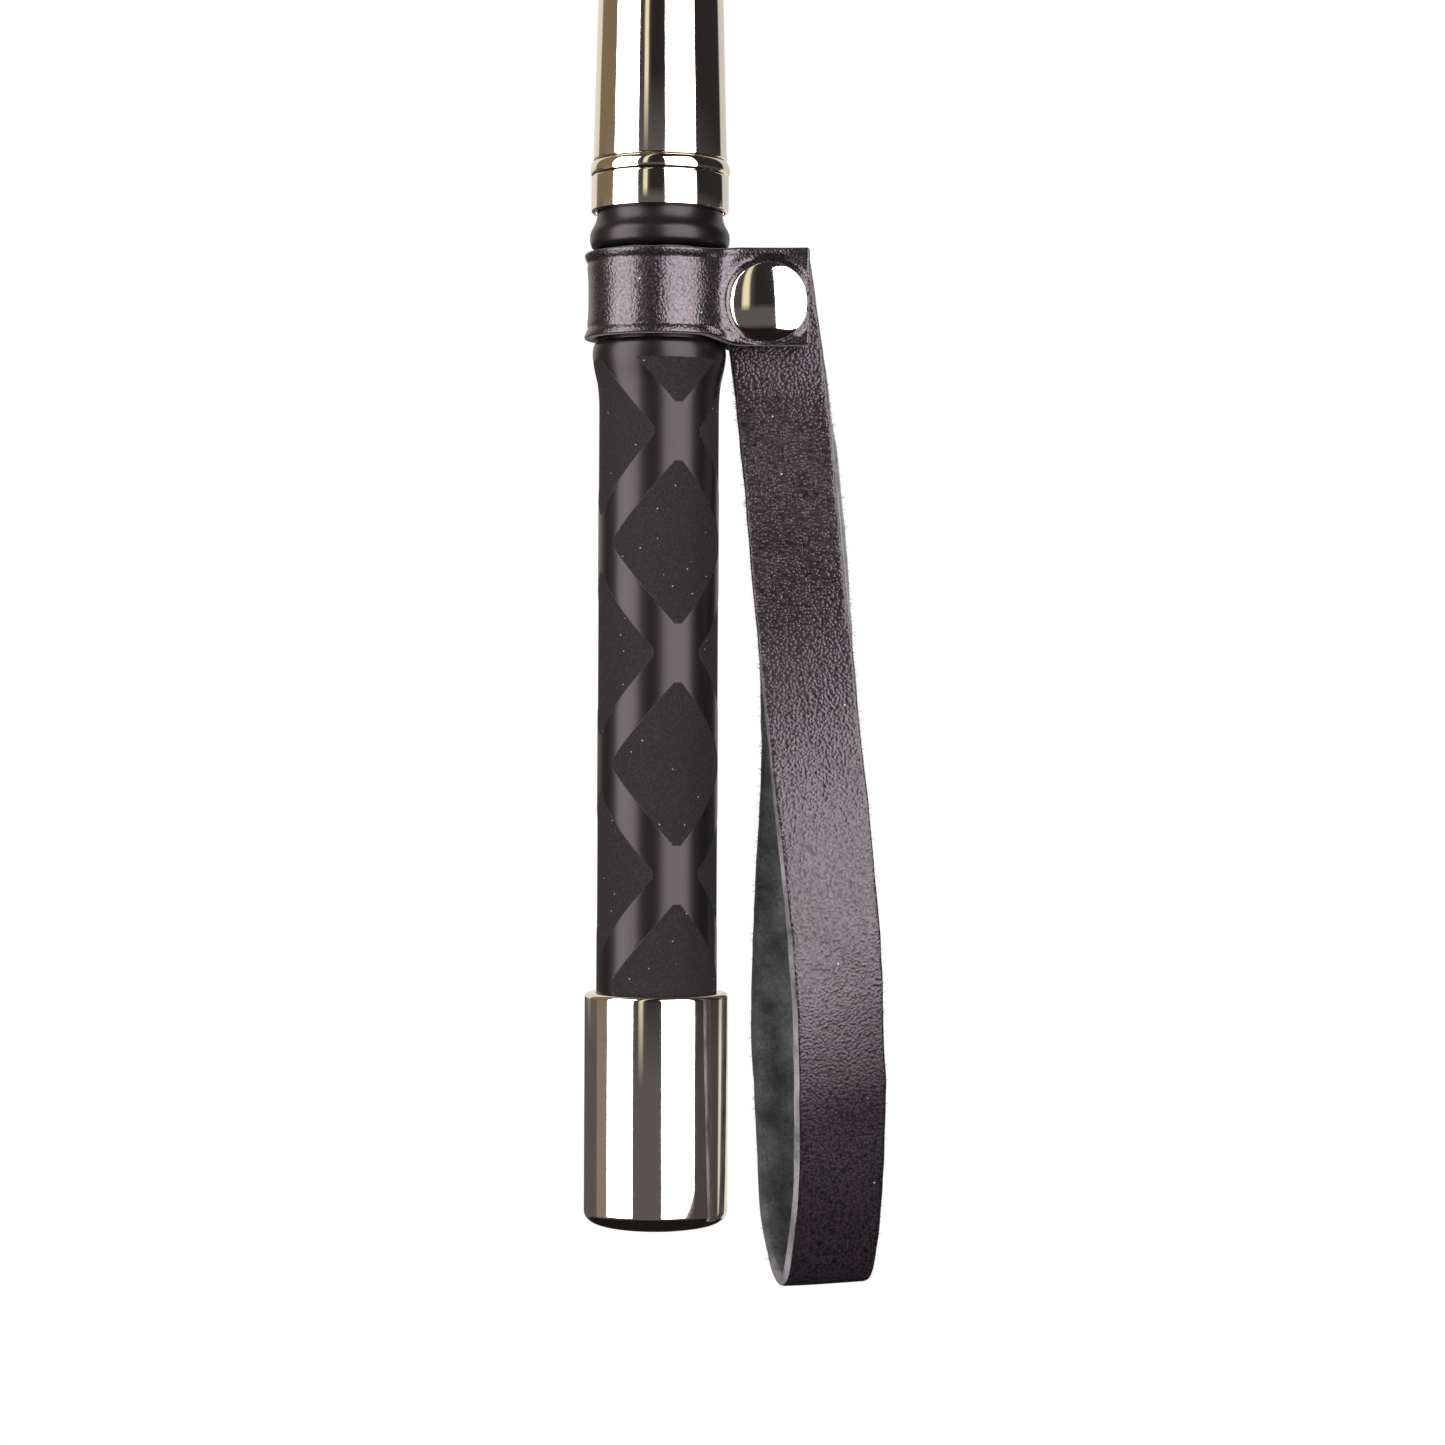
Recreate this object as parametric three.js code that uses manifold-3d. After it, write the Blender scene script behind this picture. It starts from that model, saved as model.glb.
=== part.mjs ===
// A riding crop: metal pommel, rubber grip, tapered metal ferrule, braided shaft and leather keeper,
// with a leather neck band that carries a wrist strap on a press stud.
// Millimetres, +Z up the shaft. Heights below are counted from the pommel's end face.
// The finished group is lowered, so that its origin is where the hand holds the grip.
import * as THREE from "three";
import { mergeVertices } from "three/addons/utils/BufferGeometryUtils.js";
import Module from "manifold-3d";

const wasm = await Module();
wasm.setup();

// Driving dimensions
const TOTAL_LENGTH = 650;
const HOLD_HEIGHT = 100; // middle of the hand's hold
const GAP = 0.2; // between pieces that touch
const METAL_WALL = 0.8;

const POMMEL_RADIUS = 13.45;
const POMMEL_LENGTH = 44;
const POMMEL_FLAT_RADIUS = 5;

const GRIP_RADIUS = 11.3;
const GRIP_BORE_RADIUS = 9.2;
const GRIP_BOTTOM = 38.5;
const GRIP_TOP = 194;
const NECK_RADIUS = 11;
const LOWER_BEAD_RADIUS = 12.5;
const UPPER_BEAD_RADIUS = 13.1;
const LOWER_BEAD_HEIGHT = 163;
const UPPER_BEAD_HEIGHT = 185.2;

const COLLAR_BOTTOM = 190;
const COLLAR_RADIUS = 12.95;
const COLLAR_BEAD_RADIUS = 13.15;
const COLLAR_BEAD_HEIGHT = 198;
const SLEEVE_BOTTOM = 199.6;
const SLEEVE_RADIUS = 12.5;
const SLEEVE_TAPER = 0.025; // radius lost per millimetre up the straight stretch
const SLEEVE_STRAIGHT_END = 240;
const SLEEVE_NOSE_HEIGHT = 312;
const SLEEVE_NOSE_RADIUS = 6;

const CORE_BOTTOM = 8;
const CORE_RADIUS = 4.4;
const CORE_STRAIGHT_END = 295;
const CORE_TOP = 578;
const CORE_TIP_RADIUS = 1.6;
const BRAID_BOTTOM = 296;
const BRAID_TOP = 576;
const BRAID_WALL = 0.5;

const BINDING_BOTTOM = 548;
const BINDING_TOP = 584;
const BINDING_RADIUS = 4.9;
const KEEPER_ROOT_BOTTOM = 552;
const KEEPER_ROOT_TOP = 581;
const KEEPER_ROOT_RADIUS = 3.8;
const KEEPER_THICKNESS = 3.4;
const KEEPER_WIDTH = 28;
const KEEPER_BASE_WIDTH = 8;
const KEEPER_BASE = 585;

const BAND_THICKNESS = 2;
const BAND_INNER_RADIUS = 11.4;
const BAND_HEIGHT = 16; // round the neck
const TAB_HEIGHT = 18.3; // at the press stud
const BAND_CENTRE = 174.2;
const TAB_CENTRE = 173.7;
const TAB_START = 13; // where the two plies run parallel
const TAB_END = 28;
const FRONT_PLY = -5.6; // middle of each ply's thickness, towards -Y at the front
const BACK_PLY = 5;

const STUD_X = 20.4;
const STUD_HEIGHT = 172.8;
const CAP_RADIUS = 7.4;
const CAP_DOME = 1.3;
const CAP_RECESS = 0.6;
const SHANK_RADIUS = 1.9;
const POST_RADIUS = 1.55;
const POST_HOLE_RADIUS = 1.8;

const STRAP_WIDTH = 17.6;
const STRAP_THICKNESS = 2.7;
const STRAP_MIDDLE = 1; // the strap's own middle plane, in Y
const STRAP_END = 182.6;
const STRAP_TWIST_TOP = THREE.MathUtils.degToRad(-9);
const STRAP_TWIST_BOTTOM = THREE.MathUtils.degToRad(23);
const STRAP_TWIST_HEIGHTS = [22, 146];
const STRAP_FREE_HEIGHTS = [146, 161]; // above them the strap lies flat between the plies
const STRAP_HANG_X = 30.4; // where the strap's lowest part hangs
const STRAP_LEAN = 11.5; // how far its top stands back towards the grip
const STRAP_LEAN_POWER = 2.8;
const STRAP_LEAN_TOP = 183;
const STRAP_DRIFT = 1.1; // how much further out the lowest part hangs
const STRAP_DRIFT_HEIGHTS = [2, 40];

const finish = (color, roughness, metalness) =>
  new THREE.MeshStandardMaterial({ color, roughness, metalness });

const metal = () => finish("#e6e2da", 0.05, 1);
const nickel = () => finish("#c9c5bb", 0.25, 1);
const rubber = () => finish("#2c282a", 0.45, 0);
const leather = () => finish("#3a3438", 0.5, 0);
const wood = () => finish("#b58a5a", 0.7, 0);
const moulded = () => finish("#3c3c3e", 0.6, 0);
const fibreglass = () => finish("#d8d2bd", 0.4, 0);
const thread = () => finish("#1d1b1d", 0.8, 0);

function piece(name, geometry, material) {
  const mesh = new THREE.Mesh(geometry, material);
  mesh.name = name;
  return mesh;
}

// A turned piece: the path is radius and height, drawn up the outside.
function turned(path, segments = 40, divisions = 5) {
  const geometry = new THREE.LatheGeometry(path.getPoints(divisions), segments);
  return geometry.rotateX(Math.PI / 2);
}

// A plain ring between two radii, which may differ at its two ends.
function ring(bottom, top, inner, outer, segments = 32) {
  const [innerTop, outerTop] = [inner[1] ?? inner[0], outer[1] ?? outer[0]];
  const path = new THREE.Path()
    .moveTo(inner[0], bottom)
    .lineTo(outer[0], bottom)
    .lineTo(outerTop, top)
    .lineTo(innerTop, top)
    .lineTo(inner[0], bottom);
  return turned(path, segments);
}

// A turned piece of the press stud: the path is distance from the stud's centre and Y.
function turnedOnStud(path, segments = 32) {
  const geometry = new THREE.LatheGeometry(path.getPoints(4), segments);
  return geometry.translate(STUD_X, 0, STUD_HEIGHT);
}

function solidOf(geometry) {
  const bare = geometry.clone().deleteAttribute("normal").deleteAttribute("uv");
  const merged = mergeVertices(bare, 1e-4);
  const vertProperties = merged.attributes.position.array;
  const triVerts = new Uint32Array(merged.index.array);
  return new wasm.Manifold(
    new wasm.Mesh({ numProp: 3, vertProperties, triVerts }),
  );
}

function cutAway(geometry, cutters) {
  const left = cutters.reduce(
    (solid, cutter) => solid.subtract(solidOf(cutter)),
    solidOf(geometry),
  );
  const { vertProperties, triVerts } = left.getMesh();
  const result = new THREE.BufferGeometry();
  result.setAttribute(
    "position",
    new THREE.BufferAttribute(vertProperties, 3),
  );
  result.setIndex(new THREE.BufferAttribute(triVerts, 1));
  return result;
}

function moveVertices(geometry, place) {
  const position = geometry.attributes.position;
  const point = new THREE.Vector3();
  for (let i = 0; i < position.count; i += 1) {
    place(point.fromBufferAttribute(position, i));
    position.setXYZ(i, point.x, point.y, point.z);
  }
  return geometry;
}

// A drill of the given radius along Y through the press stud's centre.
function studDrill(radius, from, to) {
  const length = to - from;
  const drill = new THREE.CylinderGeometry(radius, radius, length, 24);
  return drill.translate(STUD_X, from + length / 2, STUD_HEIGHT);
}

// Offsets a line of points to both sides.
function sidesOf(line, thickness) {
  const across = line.map((_, index) => {
    const before = line[Math.max(index - 1, 0)];
    const after = line[Math.min(index + 1, line.length - 1)];
    const along = after.clone().sub(before).normalize();
    return new THREE.Vector2(-along.y, along.x).multiplyScalar(thickness / 2);
  });
  return {
    left: line.map((point, i) => point.clone().add(across[i])),
    right: line.map((point, i) => point.clone().sub(across[i])),
  };
}

// Handle

function pommelCap() {
  const domeEdge = POMMEL_RADIUS - 1.9;
  const domeRise = 1.3;
  const sideStart = 3.2;
  const lip = GRIP_RADIUS + GAP;
  const inside = POMMEL_RADIUS - METAL_WALL;
  const path = new THREE.Path()
    .moveTo(0, 0)
    .lineTo(POMMEL_FLAT_RADIUS, 0)
    .quadraticCurveTo(domeEdge - 3, 0.3, domeEdge, domeRise)
    .quadraticCurveTo(POMMEL_RADIUS, domeRise + 0.4, POMMEL_RADIUS, sideStart)
    .lineTo(POMMEL_RADIUS, POMMEL_LENGTH - 1)
    .quadraticCurveTo(
      POMMEL_RADIUS,
      POMMEL_LENGTH,
      POMMEL_RADIUS - 1,
      POMMEL_LENGTH,
    )
    .lineTo(lip, POMMEL_LENGTH)
    .lineTo(lip, POMMEL_LENGTH - METAL_WALL)
    .lineTo(inside, POMMEL_LENGTH - METAL_WALL - 1)
    .lineTo(inside, sideStart + METAL_WALL)
    .lineTo(domeEdge, domeRise + METAL_WALL)
    .lineTo(POMMEL_FLAT_RADIUS, METAL_WALL)
    .lineTo(0, METAL_WALL);
  return piece("pommel_cap", turned(path, 48, 4), metal());
}

// A turned wooden plug fills the cap, and the core rod is glued into its bore.
function pommelPlug() {
  const outside = POMMEL_RADIUS - METAL_WALL - GAP;
  const bore = CORE_RADIUS + GAP;
  const path = new THREE.Path()
    .moveTo(0, METAL_WALL + GAP)
    .lineTo(POMMEL_FLAT_RADIUS - 1, METAL_WALL + GAP)
    .lineTo(outside - 1.6, 2.8)
    .lineTo(outside, 4.6)
    .lineTo(outside, GRIP_BOTTOM - GAP)
    .lineTo(bore, GRIP_BOTTOM - GAP)
    .lineTo(bore, CORE_BOTTOM - GAP)
    .lineTo(0, CORE_BOTTOM - GAP);
  return piece("pommel_plug", turned(path, 32), wood());
}

function handleTube() {
  const geometry = ring(
    GRIP_BOTTOM,
    GRIP_TOP,
    [CORE_RADIUS + GAP],
    [GRIP_BORE_RADIUS - GAP],
  );
  return piece("handle_tube", geometry, moulded());
}

// The grip slides over the tube. Its two beads keep the neck band in place.
function gripRubber() {
  const path = new THREE.Path()
    .moveTo(GRIP_BORE_RADIUS, GRIP_BOTTOM)
    .lineTo(GRIP_RADIUS, GRIP_BOTTOM)
    .lineTo(GRIP_RADIUS, 157.5)
    .bezierCurveTo(
      GRIP_RADIUS,
      159.5,
      LOWER_BEAD_RADIUS - 0.1,
      161,
      LOWER_BEAD_RADIUS,
      LOWER_BEAD_HEIGHT,
    )
    .bezierCurveTo(
      LOWER_BEAD_RADIUS,
      165,
      LOWER_BEAD_RADIUS - 0.5,
      165.6,
      NECK_RADIUS,
      165.8,
    )
    .lineTo(NECK_RADIUS, 182.7)
    .bezierCurveTo(
      UPPER_BEAD_RADIUS - 0.5,
      182.8,
      UPPER_BEAD_RADIUS,
      183.6,
      UPPER_BEAD_RADIUS,
      UPPER_BEAD_HEIGHT,
    )
    .bezierCurveTo(
      UPPER_BEAD_RADIUS,
      187.4,
      11.8,
      188.2,
      11.7,
      COLLAR_BOTTOM - 0.5,
    )
    .lineTo(11.7, GRIP_TOP)
    .lineTo(GRIP_BORE_RADIUS, GRIP_TOP)
    .lineTo(GRIP_BORE_RADIUS, GRIP_BOTTOM);
  return piece("grip_rubber", turned(path, 40, 4), rubber());
}

// Ferrule

// A plain band with a rolled bead along its upper edge, over the end of the grip.
function ferruleCollar() {
  const inside = COLLAR_RADIUS - METAL_WALL;
  const beadCreaseBelow = COLLAR_BEAD_HEIGHT - 1.4;
  const beadTop = SLEEVE_BOTTOM - GAP;
  const path = new THREE.Path()
    .moveTo(inside, COLLAR_BOTTOM)
    .lineTo(COLLAR_RADIUS, COLLAR_BOTTOM)
    .lineTo(COLLAR_RADIUS, beadCreaseBelow)
    .quadraticCurveTo(
      COLLAR_BEAD_RADIUS + 0.3,
      COLLAR_BEAD_HEIGHT,
      SLEEVE_RADIUS + 0.1,
      beadTop,
    )
    .lineTo(inside - 0.4, beadTop)
    .lineTo(inside, COLLAR_BEAD_HEIGHT - 2)
    .lineTo(inside, COLLAR_BOTTOM);
  return piece("ferrule_collar", turned(path, 48), metal());
}

// Outer or inner radius profile of the sleeve: a slight taper, then a long ogive to the nose.
function sleeveStraightRadius(height) {
  return SLEEVE_RADIUS - SLEEVE_TAPER * (height - SLEEVE_BOTTOM);
}

function ferruleSleeve() {
  const shoulder = sleeveStraightRadius(SLEEVE_STRAIGHT_END);
  const bend = 26;
  const nose = SLEEVE_NOSE_RADIUS;
  const lip = 0.4;
  const inside = (radius) => radius - METAL_WALL;
  const path = new THREE.Path()
    .moveTo(inside(SLEEVE_RADIUS), SLEEVE_BOTTOM)
    .lineTo(SLEEVE_RADIUS, SLEEVE_BOTTOM)
    .lineTo(shoulder, SLEEVE_STRAIGHT_END)
    .bezierCurveTo(
      shoulder - SLEEVE_TAPER * bend,
      SLEEVE_STRAIGHT_END + bend,
      nose + 1,
      SLEEVE_NOSE_HEIGHT - bend,
      nose,
      SLEEVE_NOSE_HEIGHT - lip,
    )
    .lineTo(nose - lip, SLEEVE_NOSE_HEIGHT)
    .lineTo(inside(nose), SLEEVE_NOSE_HEIGHT)
    .lineTo(inside(nose), SLEEVE_NOSE_HEIGHT - lip)
    .bezierCurveTo(
      inside(nose + 1),
      SLEEVE_NOSE_HEIGHT - bend,
      inside(shoulder - SLEEVE_TAPER * bend),
      SLEEVE_STRAIGHT_END + bend,
      inside(shoulder),
      SLEEVE_STRAIGHT_END,
    )
    .lineTo(inside(SLEEVE_RADIUS), SLEEVE_BOTTOM);
  return piece("ferrule_sleeve", turned(path, 48, 7), metal());
}

// Wooden plug that centres the ferrule on the core rod.
function ferrulePlug() {
  const bottom = GRIP_TOP + GAP;
  const top = 226;
  const step = SLEEVE_BOTTOM + 0.6;
  const bore = CORE_RADIUS + GAP;
  const path = new THREE.Path()
    .moveTo(bore, bottom)
    .lineTo(11.2, bottom)
    .lineTo(11.2, step)
    .lineTo(sleeveStraightRadius(top) - METAL_WALL - GAP, top)
    .lineTo(bore, top)
    .lineTo(bore, bottom);
  return piece("ferrule_plug", turned(path, 32), wood());
}

// Short moulded bush that centres the sleeve's nose on the core rod.
function noseBush() {
  const geometry = ring(284, 293, [CORE_RADIUS + GAP], [6.4, 5.7]);
  return piece("nose_bush", geometry, moulded());
}

// Shaft and keeper

function coreRadiusAt(height) {
  const run = (height - CORE_STRAIGHT_END) / (CORE_TOP - CORE_STRAIGHT_END);
  return THREE.MathUtils.lerp(
    CORE_RADIUS,
    CORE_TIP_RADIUS,
    THREE.MathUtils.clamp(run, 0, 1),
  );
}

function shaftCore() {
  const path = new THREE.Path()
    .moveTo(0, CORE_BOTTOM)
    .lineTo(CORE_RADIUS, CORE_BOTTOM)
    .lineTo(CORE_RADIUS, CORE_STRAIGHT_END)
    .lineTo(CORE_TIP_RADIUS, CORE_TOP)
    .lineTo(0, CORE_TOP);
  return piece("shaft_core", turned(path, 24), fibreglass());
}

function shaftBraid() {
  const innerAt = (height) => coreRadiusAt(height) + 0.1;
  const inner = [innerAt(BRAID_BOTTOM), innerAt(BRAID_TOP)];
  const outer = inner.map((radius) => radius + BRAID_WALL);
  const geometry = ring(BRAID_BOTTOM, BRAID_TOP, inner, outer, 24);
  return piece("shaft_braid", geometry, thread());
}

// The end of the keeper's leather, wrapped round the shaft under the binding.
function keeperRoot() {
  const inner = [KEEPER_ROOT_BOTTOM, BRAID_TOP].map(
    (height) => coreRadiusAt(height) + 0.1 + BRAID_WALL + 0.15,
  );
  const geometry = ring(
    KEEPER_ROOT_BOTTOM,
    KEEPER_ROOT_TOP,
    inner,
    [KEEPER_ROOT_RADIUS],
    24,
  );
  return piece("keeper_root", geometry, leather());
}

// Whipping of waxed thread that ties the keeper to the shaft.
function keeperBinding() {
  const inner = KEEPER_ROOT_RADIUS + 0.15;
  const path = new THREE.Path()
    .moveTo(inner, BINDING_BOTTOM)
    .lineTo(BINDING_RADIUS - 0.5, BINDING_BOTTOM)
    .lineTo(BINDING_RADIUS, BINDING_BOTTOM + 1.5)
    .lineTo(BINDING_RADIUS, BINDING_TOP - 1.5)
    .lineTo(BINDING_RADIUS - 0.5, BINDING_TOP)
    .lineTo(inner, BINDING_TOP)
    .lineTo(inner, BINDING_BOTTOM);
  return piece("keeper_binding", turned(path, 28), thread());
}

// The folded tongue of leather at the tip, which bends at its base.
function keeperTongue() {
  const half = KEEPER_WIDTH / 2;
  const base = KEEPER_BASE_WIDTH / 2;
  const shoulder = KEEPER_BASE + 20;
  const corner = 4;
  const shape = new THREE.Shape()
    .moveTo(-base, KEEPER_BASE)
    .lineTo(base, KEEPER_BASE)
    .bezierCurveTo(base, shoulder - 10, half, shoulder - 10, half, shoulder)
    .lineTo(half, TOTAL_LENGTH - corner)
    .quadraticCurveTo(half, TOTAL_LENGTH, half - corner, TOTAL_LENGTH)
    .lineTo(corner - half, TOTAL_LENGTH)
    .quadraticCurveTo(-half, TOTAL_LENGTH, -half, TOTAL_LENGTH - corner)
    .lineTo(-half, shoulder)
    .bezierCurveTo(
      -half,
      shoulder - 10,
      -base,
      shoulder - 10,
      -base,
      KEEPER_BASE,
    );
  const geometry = new THREE.ExtrudeGeometry(shape, {
    depth: KEEPER_THICKNESS,
    bevelEnabled: false,
    curveSegments: 8,
  });
  geometry.translate(0, 0, -KEEPER_THICKNESS / 2).rotateX(Math.PI / 2);
  return piece("keeper_tongue", geometry, leather());
}

// Neck band, in plan: a ring round the neck whose two ends run out side by side as a tab.

const bandMiddleRadius = BAND_INNER_RADIUS + BAND_THICKNESS / 2;

// Where a straight run to the given point leaves the band's ring, as an angle.
function leavingAngle(x, y) {
  return Math.atan2(Math.abs(y), x) + Math.acos(bandMiddleRadius / Math.hypot(x, y));
}

const ringPoint = (angle) =>
  new THREE.Vector2(Math.cos(angle), Math.sin(angle)).multiplyScalar(
    bandMiddleRadius,
  );

// Extrudes a strip in plan, and gives it the band's height round the neck and the tab's beyond.
function bandLeather(line) {
  const { left, right } = sidesOf(line, BAND_THICKNESS);
  const shape = new THREE.Shape([...left, ...right.reverse()]);
  const geometry = new THREE.ExtrudeGeometry(shape, {
    depth: 1,
    bevelEnabled: false,
  });
  return moveVertices(geometry, (point) => {
    const tab = THREE.MathUtils.smoothstep(point.x, 7, TAB_START + 2);
    const height = THREE.MathUtils.lerp(BAND_HEIGHT, TAB_HEIGHT, tab);
    const centre = THREE.MathUtils.lerp(BAND_CENTRE, TAB_CENTRE, tab);
    point.z = centre + (point.z - 0.5) * height;
  });
}

const flapAngle = -leavingAngle(TAB_START, FRONT_PLY);
const flapHalfGap = 0.012; // radians, half the slit between ring and flap

function neckBand() {
  const backAngle = leavingAngle(TAB_START, BACK_PLY) - 2 * Math.PI;
  const steps = 34;
  const line = [];
  for (let i = 0; i <= steps; i += 1) {
    const from = flapAngle - flapHalfGap;
    line.push(ringPoint(THREE.MathUtils.lerp(from, backAngle, i / steps)));
  }
  line.push(new THREE.Vector2(TAB_START, BACK_PLY));
  line.push(new THREE.Vector2(TAB_START + 2, BACK_PLY));
  line.push(new THREE.Vector2(TAB_END, BACK_PLY));
  const hole = studDrill(POST_HOLE_RADIUS, BACK_PLY - 3, BACK_PLY + 3);
  return piece("neck_band", cutAway(bandLeather(line), [hole]), leather());
}

function bandFlap() {
  const line = [
    ringPoint(flapAngle + flapHalfGap),
    new THREE.Vector2(TAB_START - 0.6, FRONT_PLY - 0.4),
    new THREE.Vector2(TAB_START + 0.6, FRONT_PLY),
    new THREE.Vector2(TAB_END, FRONT_PLY),
  ];
  const face = FRONT_PLY - BAND_THICKNESS / 2;
  const recess = studDrill(CAP_RADIUS + 0.3, face - 2, face + CAP_RECESS);
  const hole = studDrill(SHANK_RADIUS + GAP, face - 1, face + 4);
  return piece("band_flap", cutAway(bandLeather(line), [recess, hole]), leather());
}

// Press stud: cap and socket on the flap, stud and post on the back ply

const flapFace = FRONT_PLY - BAND_THICKNESS / 2;
const flapBack = FRONT_PLY + BAND_THICKNESS / 2;
const socketBack = flapBack + 1.9;
const strapFront = STRAP_MIDDLE - STRAP_THICKNESS;
const strapBack = STRAP_MIDDLE + STRAP_THICKNESS;

function snapCap() {
  const seat = flapFace + CAP_RECESS - 0.1;
  const rim = seat - 0.5;
  const front = rim - CAP_DOME;
  const path = new THREE.Path()
    .moveTo(0, front)
    .quadraticCurveTo(CAP_RADIUS / 2, front, CAP_RADIUS, rim)
    .lineTo(CAP_RADIUS, seat - 0.2)
    .lineTo(CAP_RADIUS - 0.3, seat)
    .lineTo(SHANK_RADIUS, seat)
    .lineTo(SHANK_RADIUS, flapBack + 0.6)
    .lineTo(0, flapBack + 0.6);
  return piece("snap_cap", turnedOnStud(path, 48), metal());
}

function snapSocket() {
  const front = flapBack + 0.1;
  const path = new THREE.Path()
    .moveTo(SHANK_RADIUS + 0.1, front)
    .lineTo(5.2, front)
    .lineTo(6.2, front + 0.6)
    .lineTo(6.2, socketBack)
    .lineTo(2.6, socketBack)
    .lineTo(2.6, front + 0.7)
    .lineTo(SHANK_RADIUS + 0.1, front + 0.7)
    .lineTo(SHANK_RADIUS + 0.1, front);
  return piece("snap_socket", turnedOnStud(path), nickel());
}

function snapStud() {
  const flangeFront = socketBack + 0.15;
  const flangeBack = strapFront - 0.1;
  const bore = POST_RADIUS + 0.1;
  const path = new THREE.Path()
    .moveTo(bore, flangeFront - 0.9)
    .lineTo(2.3, flangeFront - 0.9)
    .lineTo(2.3, flangeFront)
    .lineTo(5.4, flangeFront)
    .lineTo(5.4, flangeBack)
    .lineTo(bore, flangeBack)
    .lineTo(bore, flangeFront - 0.9);
  return piece("snap_stud", turnedOnStud(path), nickel());
}

function snapPost() {
  const seat = BACK_PLY + BAND_THICKNESS / 2 + 0.1;
  const path = new THREE.Path()
    .moveTo(0, socketBack - 0.6)
    .lineTo(POST_RADIUS, socketBack - 0.6)
    .lineTo(POST_RADIUS, seat)
    .lineTo(5.4, seat)
    .lineTo(5.4, seat + 0.4)
    .lineTo(4.6, seat + 0.8)
    .lineTo(0, seat + 0.8);
  return piece("snap_post", turnedOnStud(path), nickel());
}

// Wrist strap, from the side: one strip whose ends lie together on the stud's post and whose
// two strands open out below into a slim loop. Points are distance from its middle plane, height.

const strapSide = new THREE.SplineCurve(
  [
    [-STRAP_THICKNESS / 2, STRAP_END],
    [-STRAP_THICKNESS / 2, 161],
    [-2.4, 145],
    [-3.4, 128],
    [-4.7, 108],
    [-6.7, 88],
    [-8.7, 71],
    [-9.7, 55],
    [-10, 45],
    [-9.9, 35],
    [-9.3, 25],
    [-8.2, 15],
    [-6.7, 5],
    [-4.9, -3.4],
    [-2.6, -8.4],
    [0.2, -9.9],
    [3.2, -8.4],
    [5.8, -4.4],
    [8, 2],
    [9.8, 13],
    [10.8, 27],
    [11, 40],
    [10.6, 62],
    [8.6, 79],
    [6.4, 92],
    [4.7, 109],
    [3.4, 128],
    [2.4, 145],
    [STRAP_THICKNESS / 2, 161],
    [STRAP_THICKNESS / 2, STRAP_END],
  ].map(([across, height]) => new THREE.Vector2(across, height)),
);

// Twists the strap about its own length and leans it away from the grip.
function hangStrap(point) {
  const [low, high] = STRAP_TWIST_HEIGHTS;
  const up = THREE.MathUtils.smoothstep(point.z, low, high);
  const turn = THREE.MathUtils.lerp(STRAP_TWIST_BOTTOM, STRAP_TWIST_TOP, up);
  const settle = THREE.MathUtils.smoothstep(point.z, ...STRAP_FREE_HEIGHTS);
  const twist = turn * (1 - settle);
  const rise = Math.max(point.z, 0) / STRAP_LEAN_TOP;
  const lean = STRAP_LEAN * Math.pow(rise, STRAP_LEAN_POWER);
  const above = THREE.MathUtils.smoothstep(point.z, ...STRAP_DRIFT_HEIGHTS);
  const middle = STRAP_HANG_X - lean + STRAP_DRIFT * (1 - above);
  const [wide, across] = [point.x, point.y];
  point.x = middle + wide * Math.cos(twist) - across * Math.sin(twist);
  point.y = STRAP_MIDDLE + wide * Math.sin(twist) + across * Math.cos(twist);
}

function wristStrap() {
  const line = strapSide.getSpacedPoints(84);
  const { left, right } = sidesOf(line, STRAP_THICKNESS);
  const shape = new THREE.Shape(right);
  const slitTop = 156;
  const opening = left.filter((point) => point.y < slitTop);
  shape.holes.push(new THREE.Path(opening));
  const geometry = new THREE.ExtrudeGeometry(shape, {
    depth: STRAP_WIDTH,
    steps: 3,
    bevelEnabled: false,
  });
  moveVertices(geometry, (point) => {
    const [across, height, wide] = [point.x, point.y, point.z];
    point.set(wide - STRAP_WIDTH / 2, across, height);
    hangStrap(point);
  });
  const reach = STRAP_WIDTH / 2;
  const corner = new THREE.Shape()
    .moveTo(STUD_X - 14, STUD_HEIGHT)
    .lineTo(STUD_X - reach, STUD_HEIGHT)
    .absarc(STUD_X, STUD_HEIGHT, reach, Math.PI, Math.PI / 2, true)
    .lineTo(STUD_X, STUD_HEIGHT + 14)
    .lineTo(STUD_X - 14, STUD_HEIGHT + 14);
  const trim = new THREE.ExtrudeGeometry(corner, {
    depth: 12,
    bevelEnabled: false,
  });
  trim.translate(0, 0, -6 - STRAP_MIDDLE).rotateX(Math.PI / 2);
  const hole = studDrill(POST_HOLE_RADIUS, strapFront - 1, strapBack + 1);
  return piece("wrist_strap", cutAway(geometry, [trim, hole]), leather());
}

const handle = new THREE.Group();
handle.add(pommelCap(), pommelPlug(), handleTube(), gripRubber());
handle.add(ferruleCollar(), ferruleSleeve(), ferrulePlug(), noseBush());
handle.add(shaftCore(), shaftBraid(), keeperRoot(), keeperBinding());

const band = new THREE.Group();
band.add(neckBand(), snapPost(), snapStud());

const flap = new THREE.Group();
flap.add(bandFlap(), snapCap(), snapSocket());

const crop = new THREE.Group();
crop.add(handle, band, flap, wristStrap(), keeperTongue());
crop.position.z = -HOLD_HEIGHT;

export default crop;
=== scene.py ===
# A riding crop with a leather neck band and wrist strap, dressed around its fixed frame.
# Sizes are in millimetres until a piece is finished. Heights are measured from the hand's hold.
import bisect
import math
import random

import bmesh
import bpy
from mathutils import Matrix, Vector, noise
from mathutils.geometry import interpolate_bezier


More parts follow.
